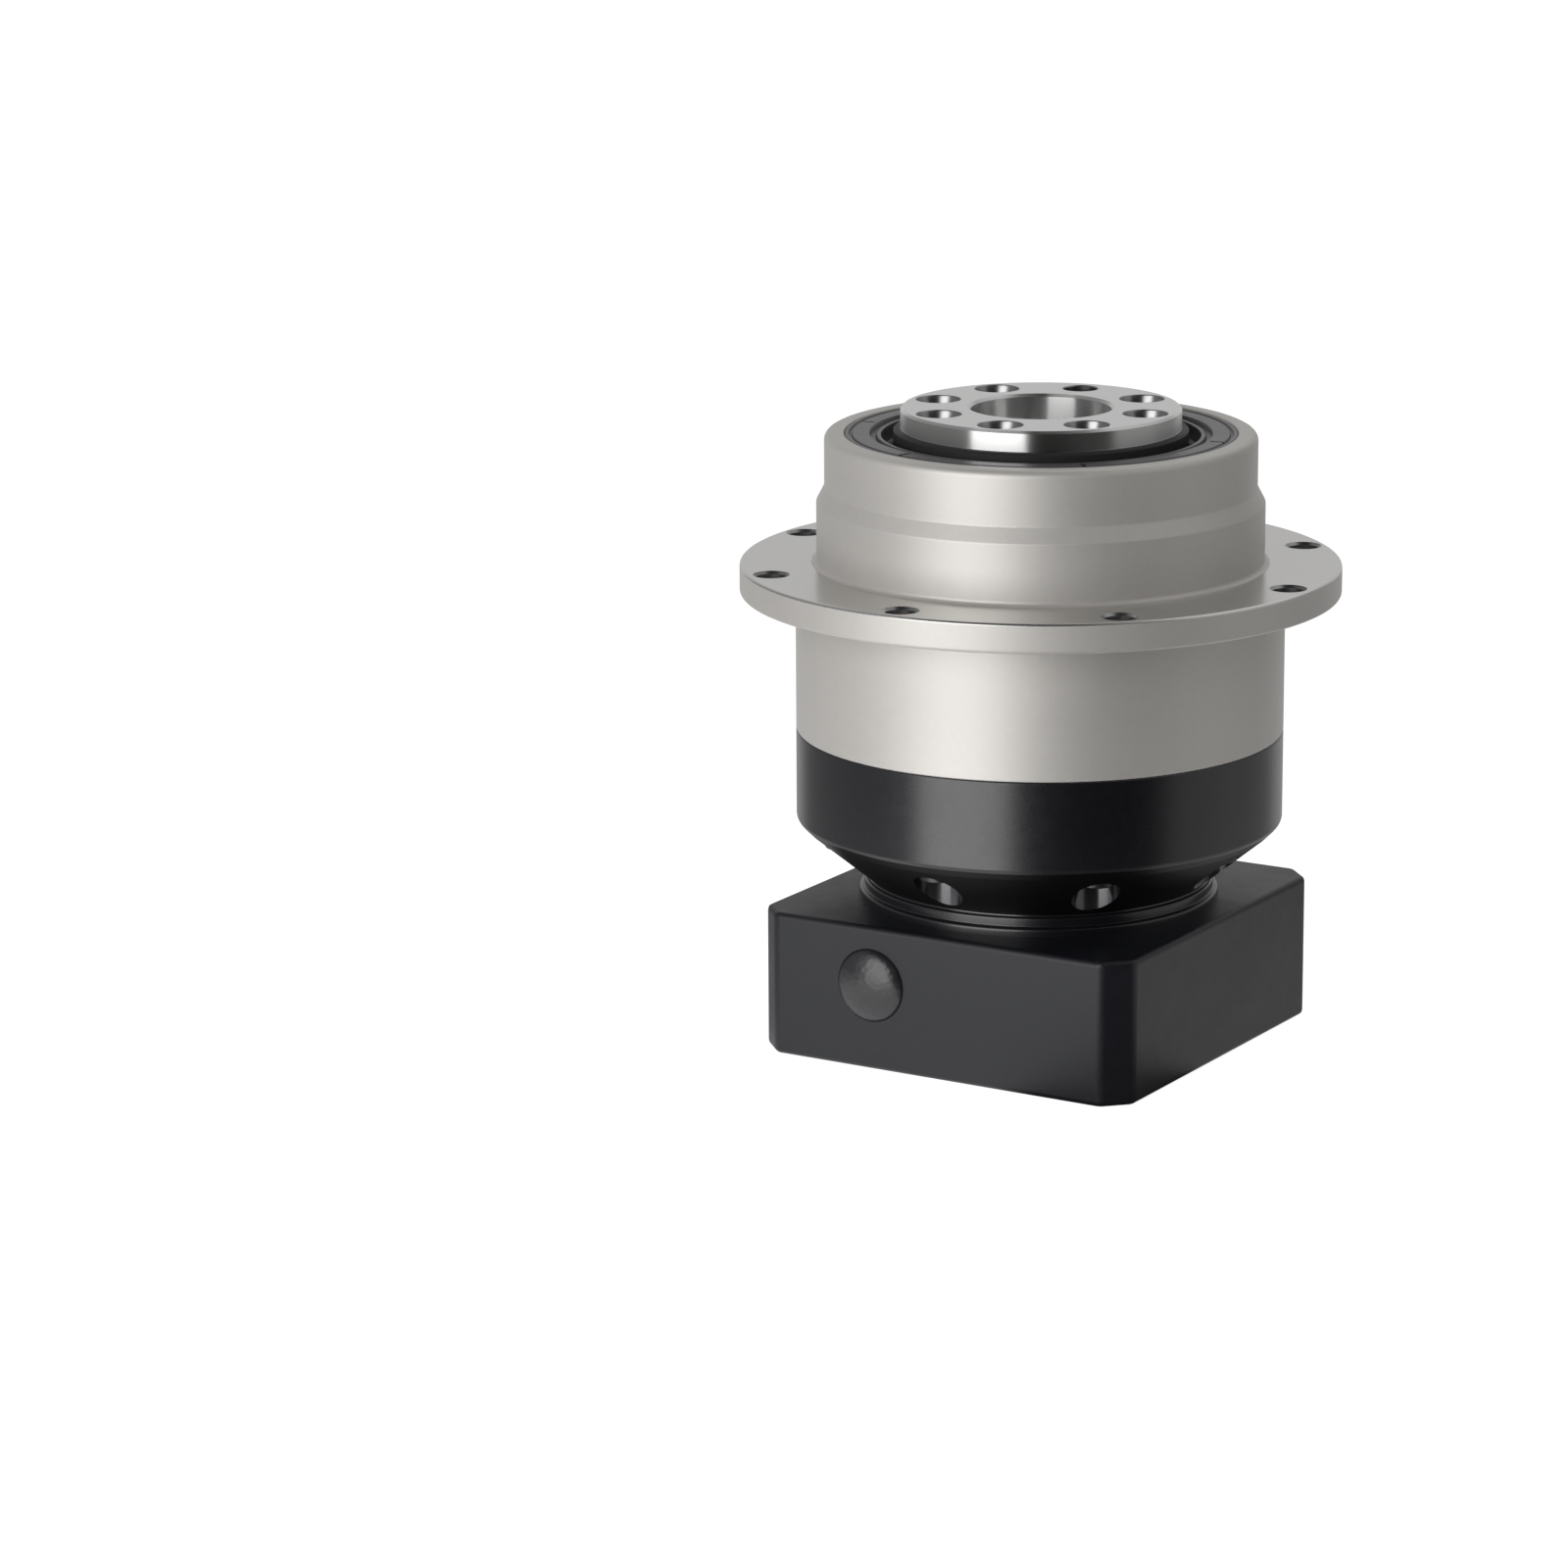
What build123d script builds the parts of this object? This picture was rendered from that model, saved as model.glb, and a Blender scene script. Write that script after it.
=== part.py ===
from build123d import *
from math import acos, cos, pi, radians, sin, sqrt, tan
import os

# Planetary gearbox with a disc output and a clamp-ring motor input, in millimetres.
# The origin is on the main axis at the motor face, and +Z points at the output disc.

# Clearances
seat_gap = 0.02  # between pieces that are pressed or screwed together
running_gap = 0.05  # radial, between a journal and its bore
side_gap = 0.3  # axial, beside a turning gear
axial_gap = 0.5  # between the carrier and the fixed faces next to it
tip_clearance = 0.4  # between the gear tips and the carrier

# Radii of the two housings, from the flange inwards
flange_radius = 43.0
flange_reach = 8.0  # flange past the body
screw_inset = 6.0  # circle of the housing screws inside the body's surface
housing_wall = 8.5
pilot_step = 3.0
nose_step = 1.15
nose_wall = 2.85
seal_width = 7.0
spigot_step = 1.0
body_radius = flange_radius - flange_reach
screw_circle = 2 * (body_radius - screw_inset)
housing_bore_radius = body_radius - housing_wall
pilot_radius = body_radius - pilot_step
nose_radius = pilot_radius - nose_step
seal_radius = nose_radius - nose_wall
seal_journal_radius = seal_radius - seal_width
output_spigot_radius = seal_journal_radius - spigot_step

# Gear set: one stage, fixed ring gear, sun drives, carrier is the output
sun_teeth = 12
planet_teeth = 12
ring_teeth = sun_teeth + 2 * planet_teeth
planet_count = 3
ring_rim = 2.4375  # solid rim of the ring gear behind its teeth
root_factor = 1.25  # depth of a tooth below the pitch circle, in modules
module_size = (housing_bore_radius - ring_rim) / (ring_teeth / 2 + root_factor)
pressure_angle = radians(25)
addendum = module_size
dedendum = root_factor * module_size
ring_addendum = 0.88 * module_size  # stubbed, so that its tips clear the planet roots
flank_relief = 0.05  # taken off each flank, which gives the backlash
gear_width = 12.4
sun_overlap = 0.6  # the sun is this much longer than the planets at each end
centre_distance = module_size * (sun_teeth + planet_teeth) / 2
ring_pitch_radius = module_size * ring_teeth / 2
ring_tip_radius = ring_pitch_radius - ring_addendum
ring_root_radius = ring_pitch_radius + dedendum
sun_tip_radius = module_size * sun_teeth / 2 + addendum
pin_radius = 2.4 * module_size
bush_wall = 0.92 * module_size
post_radius = 3.04 * module_size
planet_angles = [360 * k / planet_count for k in range(planet_count)]
planet_centres = [
    (centre_distance * cos(radians(a)), centre_distance * sin(radians(a))) for a in planet_angles
]

# Motor flange, one piece with the neck and the black ring, from the motor face upwards
block_side = 60.0
block_height = 21.0
block_chamfer = 3.6
motor_pilot_inset = 5.0
motor_pilot_depth = 3.5
motor_bolt_margin = 10.0
motor_thread_radius = 2.5  # M5, drawn at the thread's full size
motor_thread_depth = 13.0
boss_inset = 3.8  # boss on the block, inside the screw circle
boss_height = 2.6
lip_width = 0.7
lip_height = 1.2
cone_inset = 4.7  # foot of the cone inside the screw circle
cone_height = 7.7
ring_edge = 1.3  # chamfer round the ring's lower edge
ring_height = 14.3
spigot_height = 2.0
motor_pilot_radius = block_side / 2 - motor_pilot_inset
motor_bolt_circle = block_side + motor_bolt_margin
boss_radius = screw_circle / 2 - boss_inset
lip_radius = boss_radius + lip_width
boss_top = block_height + boss_height
cone_radius = screw_circle / 2 - cone_inset
ring_bottom = boss_top + cone_height
joint_plane = ring_bottom + ring_height  # where the black ring meets the silver housing
ring_gear_bottom = joint_plane + spigot_height

# Heights of the planet carrier, from its rear plate up to the step under the output bearing
rear_plate_thickness = 3.0
front_plate_thickness = 5.8
rear_plate_bottom = ring_gear_bottom + axial_gap
rear_plate_top = rear_plate_bottom + rear_plate_thickness
planet_bottom = rear_plate_top + side_gap
planet_top = planet_bottom + gear_width
front_plate_bottom = planet_top + side_gap
race_step = front_plate_bottom + front_plate_thickness
ring_gear_top = race_step - axial_gap

# Output bearing: crossed rollers between a split outer ring and a groove in the carrier
race_height = 6.0  # of one half of the outer ring
race_wall = 2.4
race_gap = 1.7  # between the two running surfaces
roller_radius = 1.5
roller_play = 0.04
roller_relief = 0.15  # a crossed roller is this much shorter than its diameter
roller_length = 2 * roller_radius - roller_relief
roller_count = 12
race_bore_radius = housing_bore_radius - race_wall
race_inner_radius = race_bore_radius - race_gap
roller_pitch_radius = (race_bore_radius + race_inner_radius) / 2
race_middle = ring_gear_top + race_height
groove_reach = (roller_radius + roller_play) * sqrt(2)
race_margin = race_bore_radius - roller_pitch_radius
groove_half_height = groove_reach - race_margin

# Output seal and the top of the gear housing
seal_height = 7.0
seal_sunk = 0.1
seal_lip_width = 1.6
seal_lip_drop = 1.0
nose_length = 10.0
nose_cone_height = 2.2
pilot_length = 8.7
flange_thickness = 4.3
flange_bolt_inset = 3.5
flange_bolt_count = 8
flange_hole_radius = 2.25
seal_bottom = race_middle + race_height
seal_top = seal_bottom + seal_height
seal_bore_radius = seal_journal_radius + running_gap
housing_top = seal_top + seal_sunk
pilot_top = housing_top - nose_length
flange_face = pilot_top - pilot_length
flange_bottom = flange_face - flange_thickness
flange_bolt_circle = 2 * (flange_radius - flange_bolt_inset)

# Housing screws, M3 socket heads pointing at the motor
screw_count = 8
screw_radius = 1.5
screw_length = 20.0
screw_head_radius = 2.75
screw_head_height = 3.0
screw_play = 0.2
screw_pocket_play = 0.65
screw_sunk = 1.0  # seat of the heads above the ring's lower face
screw_socket_side = 1.44
screw_socket_depth = 1.5
screw_hole_spare = 1.5
screw_hole_radius = screw_radius + screw_play
screw_pocket_radius = screw_head_radius + screw_pocket_play
screw_seat = ring_bottom + screw_sunk
screw_tip = screw_seat + screw_length

# Output disc with its spigot, centring bore, tapped holes and dowel hole
output_rise = 3.56  # disc above the housing
output_spigot_length = 2.98
output_bore_depth = 7.76
output_bolt_inset = 4.25
output_bore_wall = 5.75  # from the bolt circle to the bore
output_hole_count = 8
output_thread_radius = 2.5  # M5, drawn at the thread's full size
dowel_radius = 2.5
output_hole_depth = 8.0
output_phase = 7.9  # degrees from +X to the first hole of the circle at rest
dowel_position = 2  # place of the dowel hole on the circle, counted from that hole
plug_step = 0.3  # the bore plug sits on a step below the centring bore
plug_thickness = 2.0
pin_hold = 4.9  # length of a pin in the front plate
post_margin = 0.8  # carrier past its posts
output_face = housing_top + output_rise
output_bolt_circle = 2 * (output_spigot_radius - output_bolt_inset)
output_bore_radius = output_bolt_circle / 2 - output_bore_wall
carrier_bore_radius = sun_tip_radius + tip_clearance
carrier_radius = ring_tip_radius - tip_clearance
post_distance = carrier_radius - post_margin - post_radius
plug_radius = output_bore_radius - plug_step
bore_floor = output_face - output_bore_depth
plug_floor = bore_floor - plug_thickness

# Input shaft, its bearing and its seal
motor_shaft_radius = 7.0
shaft_bore_depth = 27.5
shaft_web = 0.4  # between the motor shaft's bore and the sun's seat
sleeve_wall = 1.0
sleeve_bottom = 6.5
sleeve_slot_width = 1.2
sleeve_slot_margin = 1.5
sleeve_top_gap = 1.0
journal_wall = 3.0
shaft_hole_gap = 1.0
collar_step = 1.6
collar_height = 3.6
sun_shank_radius = 4.5
input_floor = 5.0  # between the block's top and the input bore
input_seal_height = 6.0
input_bearing_gap = 0.8  # between the seal and the bearing
input_bearing_height = 7.0
bearing_ring_wall = 1.6
input_race_gap = 2.8
input_roller_count = 8
input_roller_length = 5.0
sleeve_radius = motor_shaft_radius + sleeve_wall
sleeve_top = block_height - sleeve_top_gap
sleeve_slot_length = sleeve_top - sleeve_bottom - sleeve_slot_margin
journal_radius = motor_shaft_radius + journal_wall
shaft_hole_radius = journal_radius + shaft_hole_gap
collar_radius = journal_radius + collar_step
inner_ring_radius = journal_radius + bearing_ring_wall
outer_ring_bore_radius = inner_ring_radius + input_race_gap
input_bore_radius = outer_ring_bore_radius + bearing_ring_wall
input_roller_pitch = (inner_ring_radius + outer_ring_bore_radius) / 2
input_roller_radius = input_race_gap / 2 - roller_play
input_bore_bottom = block_height + input_floor
input_bearing_bottom = input_bore_bottom + input_seal_height + input_bearing_gap
input_bearing_top = input_bearing_bottom + input_bearing_height
input_roller_bottom = input_bearing_bottom + (input_bearing_height - input_roller_length) / 2
shaft_top = input_bearing_top + collar_height
sun_shank_depth = shaft_top - sleeve_bottom - shaft_bore_depth - shaft_web

# Clamp ring, its screw, and the access hole with its plug
clamp_wall = 7.2
clamp_raise = 0.5  # ring above the sleeve's end
clamp_top_gap = 2.1  # ring below the sleeve's shoulder
clamp_slit = 1.6
clamp_screw_radius = 2.0
clamp_screw_wall = 0.55  # ring between the sleeve and the screw
clamp_head_radius = 3.5
clamp_head_height = 4.0
clamp_seat = 5.2  # distance of the screw head's seat from the plane of the slit
clamp_tip_sunk = 1.2  # screw's end inside the ring's surface
clamp_socket_side = 1.73
clamp_socket_depth = 2.2
cavity_clearance = 0.38
access_radius = 4.5
access_rim_width = 0.8
access_rim_depth = 1.5
plug_stem_length = 4.0
plug_bevel = 0.9
clamp_radius = sleeve_radius + clamp_wall
clamp_bottom = sleeve_bottom + clamp_raise
clamp_height = sleeve_top - clamp_top_gap - clamp_bottom
clamp_middle = clamp_bottom + clamp_height / 2
clamp_screw_offset = sleeve_radius + clamp_screw_radius + clamp_screw_wall
clamp_head_base = clamp_seat + running_gap
clamp_head_end = clamp_head_base + clamp_head_height
clamp_tip = sqrt(clamp_radius**2 - clamp_screw_offset**2) - clamp_tip_sunk
clamp_cavity_radius = (
    sqrt((clamp_screw_offset + clamp_head_radius) ** 2 + clamp_head_end**2) + cavity_clearance
)
access_rim_radius = access_radius + access_rim_width


def turned(*profile):
    """Solid of revolution about the main axis of a closed profile of (radius, height) points."""
    with BuildPart() as piece:
        with BuildSketch(Plane.XZ):
            with BuildLine():
                Polyline(*profile, close=True)
            make_face()
        revolve(axis=Axis.Z)
    return piece.part


def turned_ring(inner, outer, low, high):
    """Plain ring about the main axis."""
    return turned((inner, low), (outer, low), (outer, high), (inner, high))


def involute(angle):
    """Involute function of a pressure angle in radians."""
    return tan(angle) - angle


def flank_angle(radius, teeth, sign):
    """Half angle of a tooth at a radius: sign is +1 on an external gear and -1 on a ring gear."""
    pitch_radius = module_size * teeth / 2
    base_radius = pitch_radius * cos(pressure_angle)
    local_angle = acos(min(1.0, base_radius / radius))
    half_tooth = pi / (2 * teeth) + sign * (involute(pressure_angle) - involute(local_angle))
    return half_tooth - flank_relief / pitch_radius


def tooth_outline(teeth, sign, foot_radius, start_radius, tip_radius):
    """Face of one tooth on +X, with an arc through three points of the involute as each flank."""
    middle_radius = (start_radius + tip_radius) / 2

    def point(radius, side, angle):
        return (radius * cos(side * angle), radius * sin(side * angle))

    start = flank_angle(start_radius, teeth, sign)
    middle = flank_angle(middle_radius, teeth, sign)
    tip = flank_angle(tip_radius, teeth, sign)
    with BuildSketch() as tooth:
        with BuildLine():
            for side in (-1, 1):
                Line(point(foot_radius, side, start), point(start_radius, side, start))
                ThreePointArc(
                    point(start_radius, side, start),
                    point(middle_radius, side, middle),
                    point(tip_radius, side, tip),
                )
            Line(point(foot_radius, -1, start), point(foot_radius, 1, start))
            Line(point(tip_radius, -1, tip), point(tip_radius, 1, tip))
        make_face()
    return tooth.sketch


def external_gear_outline(teeth, turn):
    """Outline of the sun or of a planet, with its first tooth turned away from +X by turn degrees."""
    pitch_radius = module_size * teeth / 2
    root_radius = pitch_radius - dedendum
    base_radius = pitch_radius * cos(pressure_angle)
    tooth = tooth_outline(teeth, 1, 0.95 * root_radius, base_radius, pitch_radius + addendum)
    with BuildSketch() as outline:
        Circle(root_radius)
        with PolarLocations(0, teeth, start_angle=turn):
            add(tooth)
    return outline.sketch


def ring_gear_outline(outer_radius):
    """Outline of the ring gear, with a tooth centred on +X."""
    tooth = tooth_outline(
        ring_teeth, -1, (ring_root_radius + outer_radius) / 2, ring_root_radius, ring_tip_radius
    )
    with BuildSketch() as outline:
        Circle(outer_radius)
        Circle(ring_root_radius, mode=Mode.SUBTRACT)
        with PolarLocations(0, ring_teeth):
            add(tooth)
    return outline.sketch


def save(part, label):
    """Label a piece and write its STEP file."""
    part.label = label
    export_step(part, f"parts/{label}.step")


os.makedirs("parts", exist_ok=True)

# Motor flange and input housing: block, boss, cone and black ring in one aluminium piece.
# A stepped profile is turned on top of the square block.
neck = turned(
    (0, block_height),
    (lip_radius, block_height),
    (lip_radius, block_height + lip_height),
    (boss_radius, block_height + lip_height),
    (boss_radius, boss_top),
    (cone_radius, boss_top),
    (body_radius - ring_edge, ring_bottom),
    (body_radius, ring_bottom + ring_edge),
    (body_radius, joint_plane),
    (housing_bore_radius - seat_gap, joint_plane),
    (housing_bore_radius - seat_gap, ring_gear_bottom),
    (0, ring_gear_bottom),
)
access_plane = Plane(
    origin=(-clamp_screw_offset, -block_side / 2, clamp_middle), x_dir=(1, 0, 0), z_dir=(0, -1, 0)
)
with BuildPart() as input_housing:
    with BuildSketch():
        Rectangle(block_side, block_side)
    extrude(amount=block_height)
    chamfer(input_housing.edges().filter_by(Axis.Z), block_chamfer)
    add(neck)
    for radius, depth in (
        (motor_pilot_radius, motor_pilot_depth),
        (clamp_cavity_radius, block_height),
        (shaft_hole_radius, input_bore_bottom),
    ):
        with BuildSketch():
            Circle(radius)
        extrude(amount=depth, mode=Mode.SUBTRACT)
    with BuildSketch(Plane.XY.offset(ring_gear_bottom)):
        Circle(input_bore_radius)
    extrude(amount=input_bore_bottom - ring_gear_bottom, mode=Mode.SUBTRACT)
    with BuildSketch():
        with PolarLocations(motor_bolt_circle / 2, 4, start_angle=45):
            Circle(motor_thread_radius)
    extrude(amount=motor_thread_depth, mode=Mode.SUBTRACT)
    with BuildSketch(Plane.XY.offset(joint_plane)):
        with PolarLocations(screw_circle / 2, screw_count):
            Circle(screw_hole_radius)
    extrude(amount=screw_seat - joint_plane, mode=Mode.SUBTRACT)
    with BuildSketch(Plane.XY.offset(screw_seat)):
        with PolarLocations(screw_circle / 2, screw_count):
            Circle(screw_pocket_radius)
    extrude(amount=boss_top - screw_seat, mode=Mode.SUBTRACT)
    with BuildSketch(access_plane):
        Circle(access_rim_radius)
    extrude(amount=-access_rim_depth, mode=Mode.SUBTRACT)
    with BuildSketch(access_plane):
        Circle(access_radius)
    extrude(amount=-block_side / 2, mode=Mode.SUBTRACT)
save(input_housing.part, "input_housing")

# Gear housing: stepped body with the mounting flange, the centring pilot and the seal bore
housing_body = turned(
    (housing_bore_radius, joint_plane),
    (body_radius, joint_plane),
    (body_radius, flange_bottom),
    (flange_radius, flange_bottom),
    (flange_radius, flange_face),
    (pilot_radius, flange_face),
    (pilot_radius, pilot_top),
    (nose_radius, pilot_top + nose_cone_height),
    (nose_radius, housing_top),
    (seal_radius, housing_top),
    (seal_radius, seal_bottom),
    (housing_bore_radius, seal_bottom),
)
with BuildPart() as gear_housing:
    add(housing_body)
    with BuildSketch(Plane.XY.offset(flange_face)):
        with PolarLocations(flange_bolt_circle / 2, flange_bolt_count):
            Circle(flange_hole_radius)
    extrude(amount=-flange_thickness, mode=Mode.SUBTRACT)
    with BuildSketch(Plane.XY.offset(joint_plane)):
        with PolarLocations(screw_circle / 2, screw_count):
            Circle(screw_radius + seat_gap)
    extrude(amount=screw_tip + screw_hole_spare - joint_plane, mode=Mode.SUBTRACT)
save(gear_housing.part, "gear_housing")

# Socket head screws that hold the two housings together
with BuildPart() as housing_screws:
    with BuildSketch(Plane.XY.offset(screw_seat)):
        with PolarLocations(screw_circle / 2, screw_count):
            Circle(screw_head_radius)
    extrude(amount=-screw_head_height)
    with BuildSketch(Plane.XY.offset(screw_seat)):
        with PolarLocations(screw_circle / 2, screw_count):
            Circle(screw_radius)
    extrude(amount=screw_length)
    with BuildSketch(Plane.XY.offset(screw_seat - screw_head_height)):
        with PolarLocations(screw_circle / 2, screw_count):
            RegularPolygon(screw_socket_side, 6)
    extrude(amount=screw_socket_depth, mode=Mode.SUBTRACT)
save(housing_screws.part, "housing_screws")

# Fixed ring gear, pressed into the housing between the spigot and the output bearing
with BuildPart() as ring_gear:
    with BuildSketch(Plane.XY.offset(ring_gear_bottom)):
        add(ring_gear_outline(housing_bore_radius - seat_gap))
    extrude(amount=ring_gear_top - ring_gear_bottom)
save(ring_gear.part, "ring_gear")

# Sun gear with a shank that is pressed into the input shaft
with BuildPart() as sun_gear:
    with BuildSketch(Plane.XY.offset(planet_bottom - sun_overlap)):
        add(external_gear_outline(sun_teeth, 0))
    extrude(amount=gear_width + 2 * sun_overlap)
    with BuildSketch(Plane.XY.offset(shaft_top - sun_shank_depth)):
        Circle(sun_shank_radius - seat_gap)
    extrude(amount=planet_bottom - sun_overlap - shaft_top + sun_shank_depth)
save(sun_gear.part, "sun_gear")

# Planet gears with a bronze bush each, on pins that are held in the carrier and its rear plate
bush_radius = pin_radius + bush_wall
for k in range(planet_count):
    half_pitch = 180 / planet_teeth
    planet_plane = Plane(origin=(*planet_centres[k], planet_bottom))
    with BuildPart() as planet_gear:
        with BuildSketch(planet_plane):
            add(external_gear_outline(planet_teeth, planet_angles[k] + half_pitch))
            Circle(bush_radius, mode=Mode.SUBTRACT)
        extrude(amount=gear_width)
    save(planet_gear.part, f"planet_gear_{k + 1}")
    with BuildPart() as planet_bush:
        with BuildSketch(planet_plane):
            Circle(bush_radius - seat_gap)
            Circle(pin_radius + running_gap, mode=Mode.SUBTRACT)
        extrude(amount=gear_width)
    save(planet_bush.part, f"planet_bush_{k + 1}")

with BuildPart() as planet_pins:
    with BuildSketch(Plane.XY.offset(rear_plate_bottom)):
        with Locations(*planet_centres):
            Circle(pin_radius)
    extrude(amount=front_plate_bottom + pin_hold - rear_plate_bottom)
save(planet_pins.part, "planet_pins")

# Output carrier: front plate, roller groove, seal journal and mounting disc in one piece
carrier_body = turned(
    (carrier_bore_radius, front_plate_bottom),
    (carrier_radius, front_plate_bottom),
    (carrier_radius, race_step),
    (race_inner_radius, race_step),
    (race_inner_radius, race_middle - groove_half_height),
    (roller_pitch_radius - groove_reach, race_middle),
    (race_inner_radius, race_middle + groove_half_height),
    (race_inner_radius, seal_bottom - axial_gap),
    (seal_journal_radius, seal_bottom - axial_gap),
    (seal_journal_radius, output_face - output_spigot_length),
    (output_spigot_radius, output_face - output_spigot_length),
    (output_spigot_radius, output_face),
    (output_bore_radius, output_face),
    (output_bore_radius, bore_floor),
    (plug_radius, bore_floor),
    (plug_radius, plug_floor),
    (carrier_bore_radius, plug_floor),
)
hole_angles = [output_phase + 360 * k / output_hole_count for k in range(output_hole_count)]
thread_places = [
    (output_bolt_circle / 2 * cos(radians(a)), output_bolt_circle / 2 * sin(radians(a)))
    for k, a in enumerate(hole_angles)
    if k != dowel_position
]
dowel_angle = radians(hole_angles[dowel_position])
dowel_place = (output_bolt_circle / 2 * cos(dowel_angle), output_bolt_circle / 2 * sin(dowel_angle))
with BuildPart() as output_carrier:
    add(carrier_body)
    with BuildSketch(Plane.XY.offset(rear_plate_top)):
        with PolarLocations(post_distance, planet_count, start_angle=180 / planet_count):
            Circle(post_radius)
    extrude(amount=front_plate_bottom - rear_plate_top)
    with BuildSketch(Plane.XY.offset(front_plate_bottom)):
        with Locations(*planet_centres):
            Circle(pin_radius + seat_gap)
    extrude(amount=pin_hold + seat_gap, mode=Mode.SUBTRACT)
    with BuildSketch(Plane.XY.offset(output_face)):
        with Locations(*thread_places):
            Circle(output_thread_radius)
        with Locations(dowel_place):
            Circle(dowel_radius)
    extrude(amount=-output_hole_depth, mode=Mode.SUBTRACT)
save(output_carrier.part, "output_carrier")

# Rear plate of the carrier, with holes for the pins and room for the sun to pass
with BuildPart() as carrier_rear_plate:
    with BuildSketch(Plane.XY.offset(rear_plate_bottom)):
        Circle(carrier_radius)
        Circle(carrier_bore_radius, mode=Mode.SUBTRACT)
        with Locations(*planet_centres):
            Circle(pin_radius + seat_gap, mode=Mode.SUBTRACT)
    extrude(amount=rear_plate_thickness)
save(carrier_rear_plate.part, "carrier_rear_plate")

# Round plug that closes the carrier below the centring bore
with BuildPart() as bore_plug:
    with BuildSketch(Plane.XY.offset(plug_floor)):
        Circle(plug_radius - seat_gap)
    extrude(amount=plug_thickness)
save(bore_plug.part, "bore_plug")

# Crossed-roller output bearing: the outer ring is split so that the rollers can be put in
race_outer_radius = housing_bore_radius - seat_gap
groove_radius = roller_pitch_radius + groove_reach
for label, edge in (("lower", ring_gear_top), ("upper", seal_bottom)):
    side = 1 if edge > race_middle else -1
    race = turned(
        (race_bore_radius, edge),
        (race_outer_radius, edge),
        (race_outer_radius, race_middle),
        (groove_radius, race_middle),
        (race_bore_radius, race_middle + side * groove_half_height),
    )
    save(race, f"output_bearing_{label}_race")

# Each roller leans 45 degrees out of the bearing's plane, the next one the other way
with BuildPart() as output_bearing_rollers:
    for k in range(roller_count):
        angle = radians(360 * k / roller_count)
        lean = 1 if k % 2 else -1
        outward = Vector(cos(angle), sin(angle), lean)
        middle = Vector(
            roller_pitch_radius * cos(angle), roller_pitch_radius * sin(angle), race_middle
        )
        with BuildSketch(Plane(origin=middle, z_dir=outward)):
            Circle(roller_radius)
        extrude(amount=roller_length / 2, both=True)
save(output_bearing_rollers.part, "output_bearing_rollers")

# Output seal with a raised lip beside the carrier's journal
output_seal = turned(
    (seal_bore_radius, seal_bottom),
    (seal_radius - seat_gap, seal_bottom),
    (seal_radius - seat_gap, seal_top),
    (seal_bore_radius + seal_lip_width, seal_top),
    (seal_bore_radius, seal_top - seal_lip_drop),
)
save(output_seal, "output_seal")

# Input shaft: a slotted sleeve for the motor shaft, the journal, a collar and the sun's seat
shaft_body = turned(
    (motor_shaft_radius, sleeve_bottom),
    (sleeve_radius, sleeve_bottom),
    (sleeve_radius, sleeve_top),
    (journal_radius, sleeve_top),
    (journal_radius, input_bearing_top),
    (collar_radius, input_bearing_top),
    (collar_radius, shaft_top),
    (sun_shank_radius, shaft_top),
    (sun_shank_radius, shaft_top - sun_shank_depth),
    (0, shaft_top - sun_shank_depth),
    (0, sleeve_bottom + shaft_bore_depth),
    (motor_shaft_radius, sleeve_bottom + shaft_bore_depth),
)
with BuildPart() as input_shaft:
    add(shaft_body)
    with BuildSketch(Plane.XY.offset(sleeve_bottom)):
        Rectangle(2 * journal_radius, sleeve_slot_width)
    extrude(amount=sleeve_slot_length, mode=Mode.SUBTRACT)
save(input_shaft.part, "input_shaft")

# Clamp ring around the sleeve, slit on -X where its screw crosses
screw_plane = Plane(origin=(-clamp_screw_offset, 0, clamp_middle), x_dir=(1, 0, 0), z_dir=(0, -1, 0))
with BuildPart() as clamp_ring:
    with BuildSketch(Plane.XY.offset(clamp_bottom)):
        Circle(clamp_radius)
        Circle(sleeve_radius + seat_gap, mode=Mode.SUBTRACT)
        with Locations((-clamp_radius, 0)):
            Rectangle(2 * clamp_radius, clamp_slit, mode=Mode.SUBTRACT)
    extrude(amount=clamp_height)
    with BuildSketch(screw_plane.offset(clamp_seat)):
        Circle(clamp_head_radius + running_gap)
    extrude(amount=clamp_radius, mode=Mode.SUBTRACT)
    with BuildSketch(screw_plane):
        Circle(clamp_screw_radius + running_gap)
    extrude(amount=clamp_radius, both=True, mode=Mode.SUBTRACT)
save(clamp_ring.part, "clamp_ring")

# Clamp screw with a socket head, reached through the access hole
with BuildPart() as clamp_screw:
    with BuildSketch(screw_plane.offset(clamp_head_base)):
        Circle(clamp_head_radius)
    extrude(amount=clamp_head_height)
    with BuildSketch(screw_plane.offset(clamp_head_base)):
        Circle(clamp_screw_radius)
    extrude(amount=-clamp_head_base - clamp_tip)
    with BuildSketch(screw_plane.offset(clamp_head_end)):
        RegularPolygon(clamp_socket_side, 6)
    extrude(amount=-clamp_socket_depth, mode=Mode.SUBTRACT)
save(clamp_screw.part, "clamp_screw")

# Input bearing: two rings with cylindrical rollers between them
bearing_seats = (
    ("input_bearing_inner_ring", journal_radius + seat_gap, inner_ring_radius),
    ("input_bearing_outer_ring", outer_ring_bore_radius, input_bore_radius - seat_gap),
)
for label, inner, outer in bearing_seats:
    save(turned_ring(inner, outer, input_bearing_bottom, input_bearing_top), label)
with BuildPart() as input_bearing_rollers:
    with BuildSketch(Plane.XY.offset(input_roller_bottom)):
        with PolarLocations(input_roller_pitch, input_roller_count):
            Circle(input_roller_radius)
    extrude(amount=input_roller_length)
save(input_bearing_rollers.part, "input_bearing_rollers")

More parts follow.
